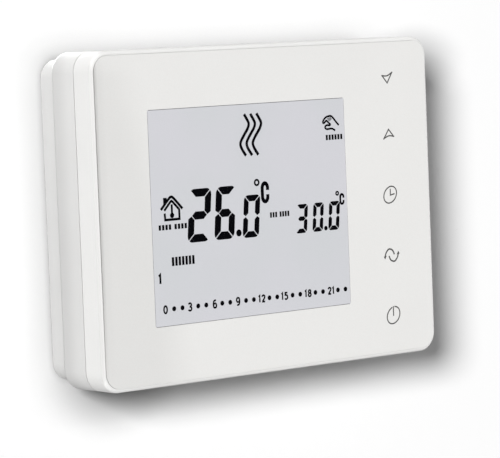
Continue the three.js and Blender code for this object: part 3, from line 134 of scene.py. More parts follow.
class Shader:
    """A material's node tree, with short calls for the nodes that the finishes share."""

    def __init__(self, name):
        self.material = bpy.data.materials.new(name)
        self.material.use_nodes = True
        self.tree = self.material.node_tree
        self.surface = self.tree.nodes["Principled BSDF"]
        self.place = None

    def node(self, kind, **settings):
        """A new node with those settings."""
        made = self.tree.nodes.new(kind)
        for key, value in settings.items():
            setattr(made, key, value)
        return made

    def link(self, output, socket):
        """Feeds one node's output to another's socket."""
        self.tree.links.new(output, socket)

    def coordinates(self, stretch=(1.0, 1.0, 1.0)):
        """Object coordinates in millimetres, stretched along each axis."""
        if self.place is None:
            self.place = self.node("ShaderNodeTexCoord").outputs["Object"]
        mapping = self.node("ShaderNodeMapping")
        mapping.inputs["Scale"].default_value = [s / MM for s in stretch]
        self.link(self.place, mapping.inputs["Vector"])
        return mapping.outputs["Vector"]

    def noise(self, size, detail=2.0, rough=0.5, stretch=(1.0, 1.0, 1.0)):
        """Noise whose features are about that many millimetres across."""
        made = self.node("ShaderNodeTexNoise")
        made.inputs["Scale"].default_value = 1.0 / size
        made.inputs["Detail"].default_value = detail
        made.inputs["Roughness"].default_value = rough
        self.link(self.coordinates(stretch), made.inputs["Vector"])
        return made.outputs["Fac"]

    def axis(self, name):
        """One coordinate in millimetres."""
        split = self.node("ShaderNodeSeparateXYZ")
        self.link(self.coordinates(), split.inputs["Vector"])
        return split.outputs[name]

    def span(self, value, low, high, new_low=0.0, new_high=1.0, way="LINEAR"):
        """The value with the range low to high mapped to the new one, and held at its ends."""
        made = self.node("ShaderNodeMapRange", interpolation_type=way)
        made.inputs["From Min"].default_value = low
        made.inputs["From Max"].default_value = high
        made.inputs["To Min"].default_value = new_low
        made.inputs["To Max"].default_value = new_high
        self.link(value, made.inputs["Value"])
        return made.outputs["Result"]

    def spread(self, noise, low=0.0, high=1.0):
        """A noise stretched so that it runs from low to high."""
        return self.span(noise, NOISE_LOW, NOISE_HIGH, low, high)

    def maths(self, operation, first, second):
        """One sum, product or comparison of numbers or other nodes' outputs."""
        made = self.node("ShaderNodeMath", operation=operation)
        for socket, value in zip(made.inputs, (first, second)):
            if isinstance(value, (int, float)):
                socket.default_value = value
            else:
                self.link(value, socket)
        return made.outputs["Value"]

    def blend(self, factor, first, second, way="MIX"):
        """Colour between first and second, each a linear colour or another node's output."""
        made = self.node("ShaderNodeMix", data_type="RGBA", blend_type=way)
        if isinstance(factor, (int, float)):
            made.inputs["Factor"].default_value = factor
        else:
            self.link(factor, made.inputs["Factor"])
        for number, value in zip(MIX_COLOURS, (first, second)):
            if isinstance(value, tuple):
                made.inputs[number].default_value = (*value, 1.0)
            else:
                self.link(value, made.inputs[number])
        return made.outputs[MIX_RESULT]

    def bump(self, height, strength, depth, under=None):
        """Relief of about that depth in millimetres."""
        made = self.node("ShaderNodeBump")
        made.inputs["Strength"].default_value = strength
        made.inputs["Distance"].default_value = depth * MM
        self.link(height, made.inputs["Height"])
        if under is not None:
            self.link(under, made.inputs["Normal"])
        return made.outputs["Normal"]

    def finish(self, colour, roughness, normal, **constants):
        """Joins the surface's colour, roughness and relief, and sets its constant values."""
        self.link(colour, self.surface.inputs["Base Color"])
        self.link(roughness, self.surface.inputs["Roughness"])
        self.link(normal, self.surface.inputs["Normal"])
        sockets = {socket.name.lower().replace(" ", "_"): socket for socket in self.surface.inputs}
        for key, value in constants.items():
            sockets[key].default_value = value
        return self.material


def scaled(colour, factor):
    """A colour made lighter or darker, no channel over 1."""
    return tuple(min(1.0, c * factor) for c in colour)


def moulded(name, colour, roughness, grain=0.22, relief=0.006, drift=0.02, shade=None):
    """Injection-moulded plastic: fine spark texture, a slow drift in tone, faint flow marks."""
    s = Shader(name)
    slow = s.spread(s.noise(26.0, 2.0))
    tone = s.blend(slow, scaled(colour, 1.0 - drift), scaled(colour, 1.0 + drift))
    spark = s.noise(grain, 3.0, 0.6)
    speck = s.span(spark, MOST_LOW, MOST_HIGH, 0.985, 1.01)
    # A shade function multiplies painted shade and painted light into the speckle.
    if shade is not None:
        speck = s.maths("MULTIPLY", speck, shade(s))
    speckle = s.node("ShaderNodeCombineColor")
    for socket in speckle.inputs:
        s.link(speck, socket)
    painted = s.blend(1.0, tone, speckle.outputs["Color"], "MULTIPLY")
    rough = s.spread(s.noise(3.5, 3.0), roughness - 0.05, roughness + 0.05)
    waves = s.bump(s.noise(14.0, 1.0), 0.25, 0.03)
    normal = s.bump(spark, 0.6, relief, waves)
    return s.finish(painted, rough, normal)


# Slight painted shade and painted light in the white plastic's colour. Each line is a span: where it
# starts and ends along its axis, in millimetres, and its value at those two places.
BACK_Z = (0.0, 38.0, 1.0, 1.06)
BACK_Y = (-15.5, -9.0, 1.0, 0.87)
RIM_Y = (-24.1, -23.7, 1.0, 0.0)
RIM_X = (-59.6, -59.0, 1.0, 0.0)
RIM_Z = (-30.0, 40.0, 0.22, 0.18)
STRIP_SLANT_Z = (-5.0, 43.0, 0.0, 16.0)
STRIP_X = (-44.0, -27.0, 0.088, 0.0)
STRIP_Z = (37.0, 43.0, 1.0, 0.3)
GAP_NARROW_X = (-58.6, -57.9, 0.17, 0.0)
GAP_WIDE_X = (-58.6, -55.5, 0.06, 0.0)
GAP_Z = (-40.0, -15.0, 0.3, 1.0)


def lighter_above(s):
    """Painted light: the back's pieces are slightly lighter towards the top."""
    return s.span(s.axis("Z"), *BACK_Z)


def darker_at_back(s):
    """Painted shade and light: the rear case's sides lose a little brightness towards the wall, and
    gain a little towards the top.
    """
    return s.maths("MULTIPLY", s.span(s.axis("Y"), *BACK_Y, "SMOOTHSTEP"), lighter_above(s))


def softer_left_edge(s):
    """Painted shade: the front case's left edge is a touch greyer, toning down its highlight."""
    forward = s.span(s.axis("Y"), *RIM_Y, "SMOOTHSTEP")
    across = s.span(s.axis("X"), *RIM_X)
    upward = s.span(s.axis("Z"), *RIM_Z)
    shade = s.maths("MULTIPLY", s.maths("MULTIPLY", across, forward), upward)
    return s.maths("SUBTRACT", 1.0, shade)


def darker_at_left(s):
    """Painted shade: the panel's left strip is slightly greyer, widest at the bottom, and more so at
    the gap.
    """
    slanted = s.maths("ADD", s.axis("X"), s.span(s.axis("Z"), *STRIP_SLANT_Z))
    across = s.span(slanted, *STRIP_X, "SMOOTHSTEP")
    upward = s.span(s.axis("Z"), *STRIP_Z, "SMOOTHSTEP")
    strip = s.maths("SUBTRACT", 1.0, s.maths("MULTIPLY", across, upward))
    gap = s.maths("ADD", s.span(s.axis("X"), *GAP_NARROW_X), s.span(s.axis("X"), *GAP_WIDE_X))
    fading = s.span(s.axis("Z"), *GAP_Z)
    return s.maths("SUBTRACT", strip, s.maths("MULTIPLY", gap, fading))


def clear_sheet():
    """Clear window: nearly all see-through, with a satin skin."""
    s = Shader("window_clear")
    rough = s.spread(s.noise(9.0, 2.0), 0.16, 0.24)
    tint = s.blend(s.spread(s.noise(18.0)), (0.40, 0.41, 0.44), (0.46, 0.46, 0.48))
    return s.finish(tint, rough, s.bump(s.noise(7.0, 1.0), 0.2, 0.004), alpha=0.003)


def display_back():
    """Reflective display ground: pale grey-lilac with a slow drift and very fine grain."""
    s = Shader("display_ground")
    slow = s.spread(s.noise(22.0, 1.0))
    tone = s.blend(slow, (0.610, 0.622, 0.645), (0.632, 0.630, 0.668))
    grain = s.spread(s.noise(0.12, 1.0))
    fine = s.blend(grain, (0.97, 0.97, 0.97), (1.0, 1.0, 1.0))
    painted = s.blend(1.0, tone, fine, "MULTIPLY")
    rough = s.spread(s.noise(5.0, 2.0), 0.30, 0.38)
    return s.finish(painted, rough, s.bump(s.noise(0.15, 1.0), 0.3, 0.003))


def ink(name, colour, roughness, **constants):
    """Printed or displayed mark: slightly uneven in density and gloss."""
    s = Shader(name)
    density = s.spread(s.noise(0.8, 3.0))
    painted = s.blend(density, scaled(colour, 0.88), scaled(colour, 1.12))
    rough = s.spread(s.noise(1.4, 2.0), roughness - 0.06, roughness + 0.06)
    return s.finish(painted, rough, s.bump(s.noise(0.2, 2.0), 0.3, 0.004), **constants)


def metal(name, colour, roughness, stretch=(1.0, 1.0, 1.0)):
    """Plated metal with fine drawn or rolled lines along the unstretched axis."""
    s = Shader(name)
    lines = s.noise(0.12, 3.0, 0.6, stretch)
    cloud = s.spread(s.noise(2.2, 3.0))
    painted = s.blend(cloud, scaled(colour, 0.9), scaled(colour, 1.04))
    rough = s.spread(lines, roughness - 0.07, roughness + 0.09)
    return s.finish(painted, rough, s.bump(lines, 0.35, 0.01), metallic=1.0)


def glass_layer():
    """Thin display glass, slightly green and partly see-through."""
    s = Shader("display_glass")
    tint = s.blend(s.spread(s.noise(12.0)), (0.70, 0.75, 0.75), (0.76, 0.80, 0.80))
    rough = s.spread(s.noise(6.0), 0.04, 0.09)
    return s.finish(tint, rough, s.bump(s.noise(5.0), 0.15, 0.004), alpha=0.4)


# The tracks' width, length and spacing in millimetres.
TRACK_WIDTH = 0.18
TRACK_LENGTH = 7.0
TRACK_PITCH = 1.9


def circuit_board():
    """Green solder mask over copper tracks, on a woven base that shows faintly."""
    s = Shader("board_mask")
    tracks = s.node("ShaderNodeTexBrick")
    tracks.offset = 0.5
    tracks.inputs["Scale"].default_value = 1.0
    tracks.inputs["Mortar Size"].default_value = TRACK_WIDTH
    tracks.inputs["Mortar Smooth"].default_value = 0.15
    tracks.inputs["Brick Width"].default_value = TRACK_LENGTH
    tracks.inputs["Row Height"].default_value = TRACK_PITCH
    turn = s.node("ShaderNodeMapping")
    turn.inputs["Rotation"].default_value = (math.pi / 2, 0.0, 0.0)
    s.link(s.coordinates(), turn.inputs["Vector"])
    s.link(turn.outputs["Vector"], tracks.inputs["Vector"])
    weave = s.span(s.noise(0.5, 2.0), MOST_LOW, MOST_HIGH)
    ground = s.blend(weave, (0.010, 0.085, 0.035), (0.016, 0.115, 0.050))
    painted = s.blend(tracks.outputs["Fac"], ground, (0.035, 0.200, 0.085))
    normal = s.bump(tracks.outputs["Fac"], 0.5, 0.035)
    rough = s.spread(s.noise(1.2, 2.0), 0.28, 0.38)
    return s.finish(painted, rough, normal)


# A cell's sleeve: how far it starts from the nub's end and stops before the other end, and
# where its pale band starts and ends from the nub's end, in millimetres.
SLEEVE_START = 1.0
SLEEVE_STOP = 0.35
BAND_START, BAND_END = 3.2, 12.5


def battery_sleeve(name, node, nub_side):
    """Plain wrapped cell: steel ends, a dark sleeve and one pale band near the nub."""
    low, high = box_mm(node)
    s = Shader(name)
    along = s.axis("X")
    ends = (high.x, along) if nub_side > 0 else (along, low.x)
    from_nub = s.maths("SUBTRACT", *ends)
    length = high.x - low.x
    wrapped = s.maths("MULTIPLY",
                      s.maths("GREATER_THAN", from_nub, SLEEVE_START),
                      s.maths("LESS_THAN", from_nub, length - SLEEVE_STOP))
    band = s.maths("MULTIPLY",
                   s.maths("GREATER_THAN", from_nub, BAND_START),
                   s.maths("LESS_THAN", from_nub, BAND_END))
    wear = s.spread(s.noise(1.6, 3.0))
    sleeve = s.blend(wear, (0.020, 0.060, 0.042), (0.030, 0.082, 0.058))
    pale = s.blend(wear, (0.46, 0.43, 0.34), (0.54, 0.50, 0.40))
    steel = s.blend(wear, (0.50, 0.50, 0.50), (0.60, 0.60, 0.60))
    painted = s.blend(wrapped, steel, s.blend(band, sleeve, pale))
    rough = s.spread(s.noise(0.9, 3.0), 0.24, 0.36)
    s.link(s.maths("SUBTRACT", 1.0, wrapped), s.surface.inputs["Metallic"])
    return s.finish(painted, rough, s.bump(s.noise(2.5, 2.0), 0.25, 0.02))


# Linear colours of the outer pieces.
SHELL = (0.760, 0.757, 0.746)
# REAR and PLATE_WHITE are the case's white plastic made darker as painted shade.
REAR = (0.664, 0.661, 0.654)
PLATE_WHITE = (0.676, 0.673, 0.666)
PANEL = (0.780, 0.775, 0.760)
# PANEL_SIDE and SEAM_SHADE are painted shade: dark lines at the panel's gap and the case's seam.
PANEL_SIDE = (0.600, 0.596, 0.587)
SEAM_SHADE = (0.160, 0.159, 0.156)

# One finish for each of the record's material slots.
materials = {
    "shell_white": moulded("case_white", SHELL, 0.42, shade=softer_left_edge),
    "panel_white": moulded("panel_white", PANEL, 0.46, 0.35, 0.003, 0.008, darker_at_left),
    "clear_window": clear_sheet(),
    "display_glass": glass_layer(),
    "polariser_film": moulded("polariser_film", (0.50, 0.52, 0.52), 0.26, 0.6, 0.002),
    "diffuser_white": moulded("diffuser_white", (0.86, 0.87, 0.86), 0.50, 0.15, 0.004),
    "frame_white": moulded("frame_white", (0.83, 0.83, 0.81), 0.45),
    "elastomer": moulded("elastomer", (0.62, 0.36, 0.31), 0.72, 0.12, 0.006, 0.05),
    "led_cream": moulded("led_cream", (0.88, 0.84, 0.62), 0.30, 0.3, 0.002),
    "board_green": circuit_board(),
    "chip_black": moulded("chip_black", (0.016, 0.016, 0.018), 0.46, 0.10, 0.006, 0.12),
    "relay_blue": moulded("relay_blue", (0.030, 0.110, 0.350), 0.34, 0.25, 0.003, 0.05),
    "can_aluminium": metal("can_aluminium", (0.78, 0.79, 0.80), 0.30, (1.0, 0.08, 1.0)),
    "bright_steel": metal("bright_steel", (0.44, 0.44, 0.43), 0.32, (1.0, 0.3, 1.0)),
    "blade_brass": metal("blade_brass", (0.74, 0.55, 0.24), 0.28, (1.0, 1.0, 0.1)),
    "battery_sleeve": battery_sleeve("battery_1_wrap", "battery_1", 1),
    "terminal_green": moulded("terminal_green", (0.105, 0.300, 0.105), 0.40, 0.18, 0.005, 0.04),
}
# Finishes of single pieces, or of faces within a piece.
# rear_white and plate_white carry painted shade, with painted shade and light from their span
# functions.
rear_white = moulded("rear_case_white", REAR, 0.45, shade=darker_at_back)
plate_white = moulded("wall_plate_white", PLATE_WHITE, 0.45, shade=lighter_above)
# panel_side and seam_shade are painted shade on the panel's side and on the seam's faces.
panel_side = moulded("panel_side", PANEL_SIDE, 0.55)
seam_shade = moulded("seam_shade", SEAM_SHADE, 0.65)
key_ink = ink("key_ink", (0.085, 0.084, 0.082), 0.5, specular_ior_level=0.2)
display_ink = ink("display_ink", (0.0015, 0.0015, 0.0025), 0.45, specular_ior_level=0.0)


def paint(thing, material):
    """Gives an object that one material."""
    thing.data.materials.clear()
    thing.data.materials.append(material)


# ---------------------------------------------------------------- shells from the frame

# Edges between faces at a smaller angle than these are shaded smooth, or taken out.
SMOOTH_BELOW = math.radians(38)
FLAT_BELOW = math.radians(0.4)
# How near vertices are that become one, in metres.
MERGE_WITHIN = 2e-6
BEVEL_STEPS = 2
# How near a vertex lies to a level or an outline that it is on, in millimetres.
NEAR_LEVEL = 0.02
NEAR_OUTLINE = 0.04


def outline_distance(x, z, width, height, corner, middle=0.0):
    """How far (x, z) is outside a rounded rectangle."""
    past_x = abs(x - middle) - (width / 2 - corner)
    past_z = abs(z) - (height / 2 - corner)
    outside = math.hypot(max(past_x, 0.0), max(past_z, 0.0))
    return outside + min(max(past_x, past_z), 0.0) - corner


def on_outline(level, width, height, corner, middle=0.0):
    """A test for mesh edges that run along that rounded rectangle at the level y."""
    def test(edge):
        for vert in edge.verts:
            x, y, z = vert.co / MM
            if abs(y - level) > NEAR_LEVEL:
                return False
            if abs(outline_distance(x, z, width, height, corner, middle)) > NEAR_OUTLINE:
                return False
        return True
    return test


def link_piece(piece, body):
    """Puts a piece in the scene, on its body."""
    scene.collection.objects.link(piece)
    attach(piece, body)
    return piece


def shell(name, node, material, rounded=(), width=0.0, moved=None, shaded=None):
    """A copy of a CAD node with clean faces and smooth fillets.

    rounded are tests for the edges to round, by width in millimetres. moved shifts a vertex.
    shaded is a test for faces, and the finish that those faces take.
    """
    source = nodes[node].data
    mesh = bpy.data.meshes.new(name)
    mesh.from_pydata([v.co for v in source.vertices], [], [p.vertices[:] for p in source.polygons])
    bm = bmesh.new()
    bm.from_mesh(mesh)
    bmesh.ops.remove_doubles(bm, verts=bm.verts, dist=MERGE_WITHIN)
    bmesh.ops.dissolve_limit(bm, angle_limit=FLAT_BELOW, verts=bm.verts, edges=bm.edges)
    if moved:
        for vert in bm.verts:
            moved(vert)
    weight = bm.edges.layers.float.new("bevel_weight_edge")
    for face in bm.faces:
        face.smooth = True
        if shaded and shaded[0](face):
            face.material_index = 1
    for edge in bm.edges:
        edge.smooth = edge.calc_face_angle(0.0) < SMOOTH_BELOW
        if any(test(edge) for test in rounded):
            edge[weight] = 1.0
            edge.smooth = True
    bm.to_mesh(mesh)
    bm.free()
    piece = bpy.data.objects.new(name, mesh)
    paint(piece, material)
    if shaded:
        mesh.materials.append(shaded[1])
    if rounded:
        bevel = piece.modifiers.new("rounded_edges", "BEVEL")
        bevel.limit_method = "WEIGHT"
        bevel.width = width * MM
        bevel.segments = BEVEL_STEPS
        bevel.use_clamp_overlap = True
    normals = piece.modifiers.new("weighted_normals", "WEIGHTED_NORMAL")
    normals.keep_sharp = True
    link_piece(piece, nodes[node]["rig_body"])
    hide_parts(node)
    return piece


# Outlines of the outer pieces: width, height and corner radius in millimetres.
BODY = (120.0, 90.0, 5.5)
RIM = (117.7, 87.7, 4.35)
PANEL_EDGE = (117.3, 87.3, 4.15)
PLATE = (116.0, 86.0, 5.0)
# How much each piece's named edges are rounded.
RIM_ROUNDED = 0.05
PLATE_ROUNDED = 0.35
HOLE_ROUNDED = 0.06
# How far the panel's outer edge moves out to close the gap, and how near it a vertex is that
# moves with it.
PANEL_GROWN = 0.165
PANEL_STRIP = 0.3
# The seam's level, how far each edge is drawn back from it, and how near it its faces lie.
SEAM = -17.525
SEAM_OPENING = 0.07
SEAM_REACH = 0.12
# The level of the step round the wall plate.
PLATE_STEP = -6.6
# A face square to the front is on the panel's outer side if its corners are all beyond these.
PANEL_SIDE_X = 54.0
PANEL_SIDE_Z = 39.0
# How far a normal points to the front or back: at least so for a face across the seam, and at
# most so for a face on the panel's side.
SEAM_FACING = 0.5
SIDE_FACING = 0.3
# How far the panel's face is set back to make room for the key marks.
INK = 0.03
window_low, window_high = box_mm("display_window")
case_low, _ = box_mm("front_case")
plate_low, _ = box_mm("wall_plate")
panel_low, _ = box_mm("front_panel")
# The panel's opening: the window's outline and the gap round it, its corner and its middle.
WINDOW_GAP = 0.1
WINDOW_CORNER = 0.5
WINDOW_HOLE = (
    window_high.x - window_low.x + 2 * WINDOW_GAP,
    window_high.z - window_low.z + 2 * WINDOW_GAP,
    WINDOW_CORNER,
    (window_low.x + window_high.x) / 2,
)


def panel_shape(vert):
    """Sets the face back for the key marks, and closes the gap but on the left."""
    x, y, z = vert.co / MM
    if y < panel_low.y + NEAR_LEVEL:
        vert.co.y = (panel_low.y + INK) * MM
    if outline_distance(x, z, *PANEL_EDGE) > -PANEL_STRIP:
        vert.co.z += math.copysign(PANEL_GROWN, z) * MM
        if x > 0:
            vert.co.x += PANEL_GROWN * MM


def seam_opened(vert):
    """Draws the case's two edges slightly apart at the seam."""
    x, y, z = vert.co / MM
    if abs(y - SEAM) < NEAR_OUTLINE and abs(outline_distance(x, z, *BODY)) < NEAR_OUTLINE:
        vert.co.y += math.copysign(SEAM_OPENING, y - SEAM) * MM


def in_seam(face):
    """A face across the seam, at its level."""
    across = abs(face.normal.y) > SEAM_FACING
    return across and all(abs(v.co.y / MM - SEAM) < SEAM_REACH for v in face.verts)


def on_panel_side(face):
    """A face of the panel's outer side wall."""
    if abs(face.normal.y) > SIDE_FACING:
        return False
    return all(abs(v.co.x / MM) > PANEL_SIDE_X or abs(v.co.z / MM) > PANEL_SIDE_Z
               for v in face.verts)


def add_shells():
    """The outer pieces that replace their CAD nodes."""
    shell("case_front", "front_case", materials["shell_white"],
          [on_outline(case_low.y, *RIM)], RIM_ROUNDED, seam_opened, (in_seam, seam_shade))
    shell("case_rear", "rear_case", rear_white,
          moved=seam_opened, shaded=(in_seam, seam_shade))
    shell("plate", "wall_plate", plate_white,
          [on_outline(level, *PLATE) for level in (plate_low.y, PLATE_STEP, 0.0)], PLATE_ROUNDED)
    shell("panel", "front_panel", materials["panel_white"],
          [on_outline(panel_low.y + INK, *WINDOW_HOLE)], HOLE_ROUNDED, panel_shape,
          (on_panel_side, panel_side))
    shell("latch", "release_latch", plate_white)


# ---------------------------------------------------------------- flat marks

# A bend's mitre is cut where it would reach out further than the line's width.
MITRE_LEAST = 0.5
# A face whose normal points at least so far to the back is turned to the front.
BACK_FACING = 0.9
# A line is closed where its ends are this near.
SAME_POINT = 1e-6


class Marks:
    """Thin raised shapes facing the front, drawn in (x, z) millimetres."""

    def __init__(self, back, front):
        self.mesh = bmesh.new()
        self.back = back
        self.front = front

    def corner(self, point, y):
        """A new vertex."""
        return self.mesh.verts.new((point[0] * MM, y * MM, point[1] * MM))

    def fill(self, outline):
        """A filled shape inside one closed outline."""
        front = [self.corner(p, self.front) for p in outline]
        back = [self.corner(p, self.back) for p in outline]
        self.mesh.faces.new(front)
        for i in range(len(outline)):
            j = (i + 1) % len(outline)
            self.mesh.faces.new((front[i], front[j], back[j], back[i]))

    def disc(self, x, z, radius, steps=24):
        """A round dot."""
        turn = 2 * math.pi / steps
        self.fill([(x + radius * math.cos(i * turn), z + radius * math.sin(i * turn))
                   for i in range(steps)])

    def line(self, points, width, closed=False):
        """A line of even width along the points, with mitred bends."""
        count = len(points)
        sides = ([], [])
        for i, point in enumerate(points):
            here = Vector(point)
            before = Vector(points[i - 1]) if closed or i > 0 else None
            after = Vector(points[(i + 1) % count]) if closed or i < count - 1 else None
            into = (here - before).normalized() if before is not None else None
            out = (after - here).normalized() if after is not None else into
            into = out if into is None else into
            across = Vector((-(into + out).y, (into + out).x)).normalized()
            square = Vector((-out.y, out.x))
            reach = width / 2 / max(MITRE_LEAST, across.dot(square))
            sides[0].append(here + across * reach)
            sides[1].append(here - across * reach)
        front = [[self.corner(p, self.front) for p in side] for side in sides]
        back = [[self.corner(p, self.back) for p in side] for side in sides]
        for i in range(count if closed else count - 1):
            j = (i + 1) % count
            self.mesh.faces.new((front[0][i], front[1][i], front[1][j], front[0][j]))
            self.mesh.faces.new((front[0][i], front[0][j], back[0][j], back[0][i]))
            self.mesh.faces.new((front[1][i], back[1][i], back[1][j], front[1][j]))
        if not closed:
            for i in (0, count - 1):
                self.mesh.faces.new((front[0][i], back[0][i], back[1][i], front[1][i]))

    def piece(self, name, material, body, slot):
        """Makes one piece of all the shapes drawn so far."""
        bmesh.ops.recalc_face_normals(self.mesh, faces=self.mesh.faces)
        for face in self.mesh.faces:
            if face.normal.y > BACK_FACING:
                face.normal_flip()
        mesh = bpy.data.meshes.new(name)
        self.mesh.to_mesh(mesh)
        self.mesh.free()
        made = bpy.data.objects.new(name, mesh)
        paint(made, material)
        return link_piece(made, body)


def smooth(points, steps=6):
    """Points along a Catmull-Rom curve through the given ones."""
    ends = [points[0], *points, points[-1]]
    out = []
    for a, b, c, d in zip(ends, ends[1:], ends[2:], ends[3:]):
        for i in range(steps):
            t = i / steps
            out.append(tuple(
                0.5 * (2 * q + (r - p) * t + (2 * p - 5 * q + 4 * r - s) * t * t
                       + (3 * q - p - 3 * r + s) * t * t * t)
                for p, q, r, s in zip(a, b, c, d)))
    out.append(points[-1])
    return out


def arc(x, z, radius_x, radius_z, start, end, steps):
    """Points of an ellipse's arc, with angles in degrees counter-clockwise from the right."""
    angles = [math.radians(start + (end - start) * i / steps) for i in range(steps + 1)]
    return [(x + radius_x * math.cos(a), z + radius_z * math.sin(a)) for a in angles]


class PlacedMarks:
    """Marks drawn in coordinates of their own, each point placed on the panel by at()."""

    def line(self, points, width, closed=False):
        """A line through those points."""
        self.marks.line([self.at(*p) for p in points], width, closed)

    def fill(self, points):
        """A filled shape inside those points."""
        self.marks.fill([self.at(*p) for p in points])


# ---------------------------------------------------------------- touch key marks

# Each mark's place from the middle of its touch spring, right and up in millimetres, and how
# much it rises per millimetre to the right.
KEY_NUDGE = ((0.23, -0.1), (0.1, 1.0), (-0.13, 0.5), (-0.36, 0.15), (-0.45, -0.14))
KEY_LEAN = (0.20, 0.13, 0.20, 0.20, 0.20)
KEY_LINE = 0.36
ARROW_LINE = KEY_LINE + 0.08
# How far the marks' front lies behind the CAD panel's front.
KEY_SINK = 0.004


class KeyMark(PlacedMarks):
    """One key's symbol, drawn round its middle and leaning upwards to the right."""

    def __init__(self, marks, number):
        self.marks = marks
        self.lean = KEY_LEAN[number]
        low, high = box_mm(f"touch_spring_{number + 1}")
        self.x = (low.x + high.x) / 2 + KEY_NUDGE[number][0]
        self.z = (low.z + high.z) / 2 + KEY_NUDGE[number][1]

    def at(self, x, z):
        """A place right of and above the key's middle, in the panel's x and z."""
        return (self.x + x, self.z + z + self.lean * x)


def key_triangle(key, up, base, tip):
    """An open triangle whose long side is hollow, with its tips drawn out."""
    ends, hollow, feet = -up * (base + 0.1), -up * (base - 0.45), -up * (base - 0.15)
    key.line(smooth([(-2.1, ends), (0, hollow), (2.1, ends)]), KEY_LINE)
    key.line([(-1.75, feet), (0, up * tip), (1.75, feet)], KEY_LINE)


def key_clock(key):
    """A round clock with two hands."""
    key.line(arc(0, 0, 2.45, 2.3, 0, 350, 35), KEY_LINE, closed=True)
    key.line([(0.1, 1.65), (0.05, -0.15), (1.7, -0.15)], KEY_LINE)


def key_mode(key):
    """Two opposed curved arrows."""
    for side in (-1, 1):
        bend = [(2.55, -0.2), (2.1, -1.25), (1.0, -1.98), (-0.35, -1.3), (-1.05, 0.05)]
        head = [(1.95, -0.35), (3.05, -0.35), (2.55, 0.55)]
        key.line(smooth([(side * x, side * z) for x, z in bend]), ARROW_LINE)
        key.fill([(side * x, side * z) for x, z in head])


def key_power(key):
    """A ring open at the top, with a short upright."""
    key.line(arc(0, 0, 2.45, 2.35, 100, 440, 34), KEY_LINE)
    key.line([(0, 2.55), (0, -0.2)], KEY_LINE)


def add_key_marks():
    """The five keys' symbols: down, up, clock, mode and power."""
    marks = Marks(panel_low.y + INK, panel_low.y + KEY_SINK)
    down, up, clock, mode, power = [KeyMark(marks, number) for number in range(5)]
    key_triangle(down, -1, 1.07, 1.4)
    key_triangle(up, 1, 1.1, 1.17)
    key_clock(clock)
    key_mode(mode)
    key_power(power)
    marks.piece("key_marks", key_ink, "thermostat_unit", "panel_white")


# ---------------------------------------------------------------- display

# How far each layer of the display lies behind the CAD panel's front, how far the marks stand
# out of their ground, and how far the ground stays inside the window's outline.
GROUND_DEPTH = 0.075
PANE_BACK, PANE_FRONT = 0.04, 0.015
MARK_RISE = 0.02
GROUND_INSET = 0.02

SLANT = math.tan(math.radians(5.3))
# Which segments of a seven-segment figure are lit.
SEGMENTS = {"0": "abcdef", "2": "abdeg", "3": "abcdg", "6": "acdefg"}
# Plain figures as lines, right and up from their foot, in parts of their height.
DIGIT_LINES = {
    "0": [arc(0.26, 0.5, 0.22, 0.46, 0, 360, 24)],
    "1": [[(0.10, 0.80), (0.27, 0.96), (0.27, 0.0)]],
    "2": [smooth([(0.05, 0.74), (0.10, 0.90), (0.26, 0.97), (0.42, 0.89), (0.46, 0.72),
                  (0.38, 0.50), (0.18, 0.22), (0.05, 0.04)], 3), [(0.02, 0.04), (0.50, 0.04)]],
    "3": [smooth([(0.06, 0.84), (0.15, 0.94), (0.28, 0.97), (0.42, 0.88), (0.43, 0.68),
                  (0.34, 0.56), (0.20, 0.53)], 3),
          smooth([(0.20, 0.53), (0.36, 0.50), (0.46, 0.37), (0.45, 0.16), (0.30, 0.03),
                  (0.14, 0.05), (0.04, 0.17)], 3)],
    "5": [[(0.46, 0.96), (0.10, 0.96), (0.08, 0.55)],
          smooth([(0.08, 0.55), (0.26, 0.62), (0.42, 0.53), (0.47, 0.32), (0.41, 0.12),
                  (0.25, 0.03), (0.10, 0.06), (0.03, 0.16)], 3)],
    "6": [smooth([(0.41, 0.92), (0.28, 0.97), (0.13, 0.88), (0.05, 0.63), (0.05, 0.28),
                  (0.13, 0.07), (0.27, 0.03), (0.41, 0.10), (0.47, 0.31), (0.41, 0.51),
                  (0.26, 0.59), (0.11, 0.50), (0.05, 0.36)], 3)],
    "8": [arc(0.26, 0.745, 0.18, 0.22, 0, 360, 16), arc(0.26, 0.275, 0.21, 0.25, 0, 360, 18)],
    "9": [smooth([(0.11, 0.08), (0.24, 0.03), (0.39, 0.12), (0.47, 0.37), (0.47, 0.72),
                  (0.39, 0.93), (0.25, 0.97), (0.11, 0.90), (0.05, 0.69), (0.11, 0.49),
                  (0.26, 0.41), (0.41, 0.50), (0.47, 0.64)], 3)],
}
# Their spacing, how much wider they are drawn, and where they start, in parts of their height.
DIGIT_PITCH = 0.72
DIGIT_STRETCH = 1.15
DIGIT_INSET = 0.05
# A plain block's width, and the space between two groups, in parts of the blocks' pitch.
BLOCK_WIDTH = 0.68
BLOCK_SPACE = 0.7


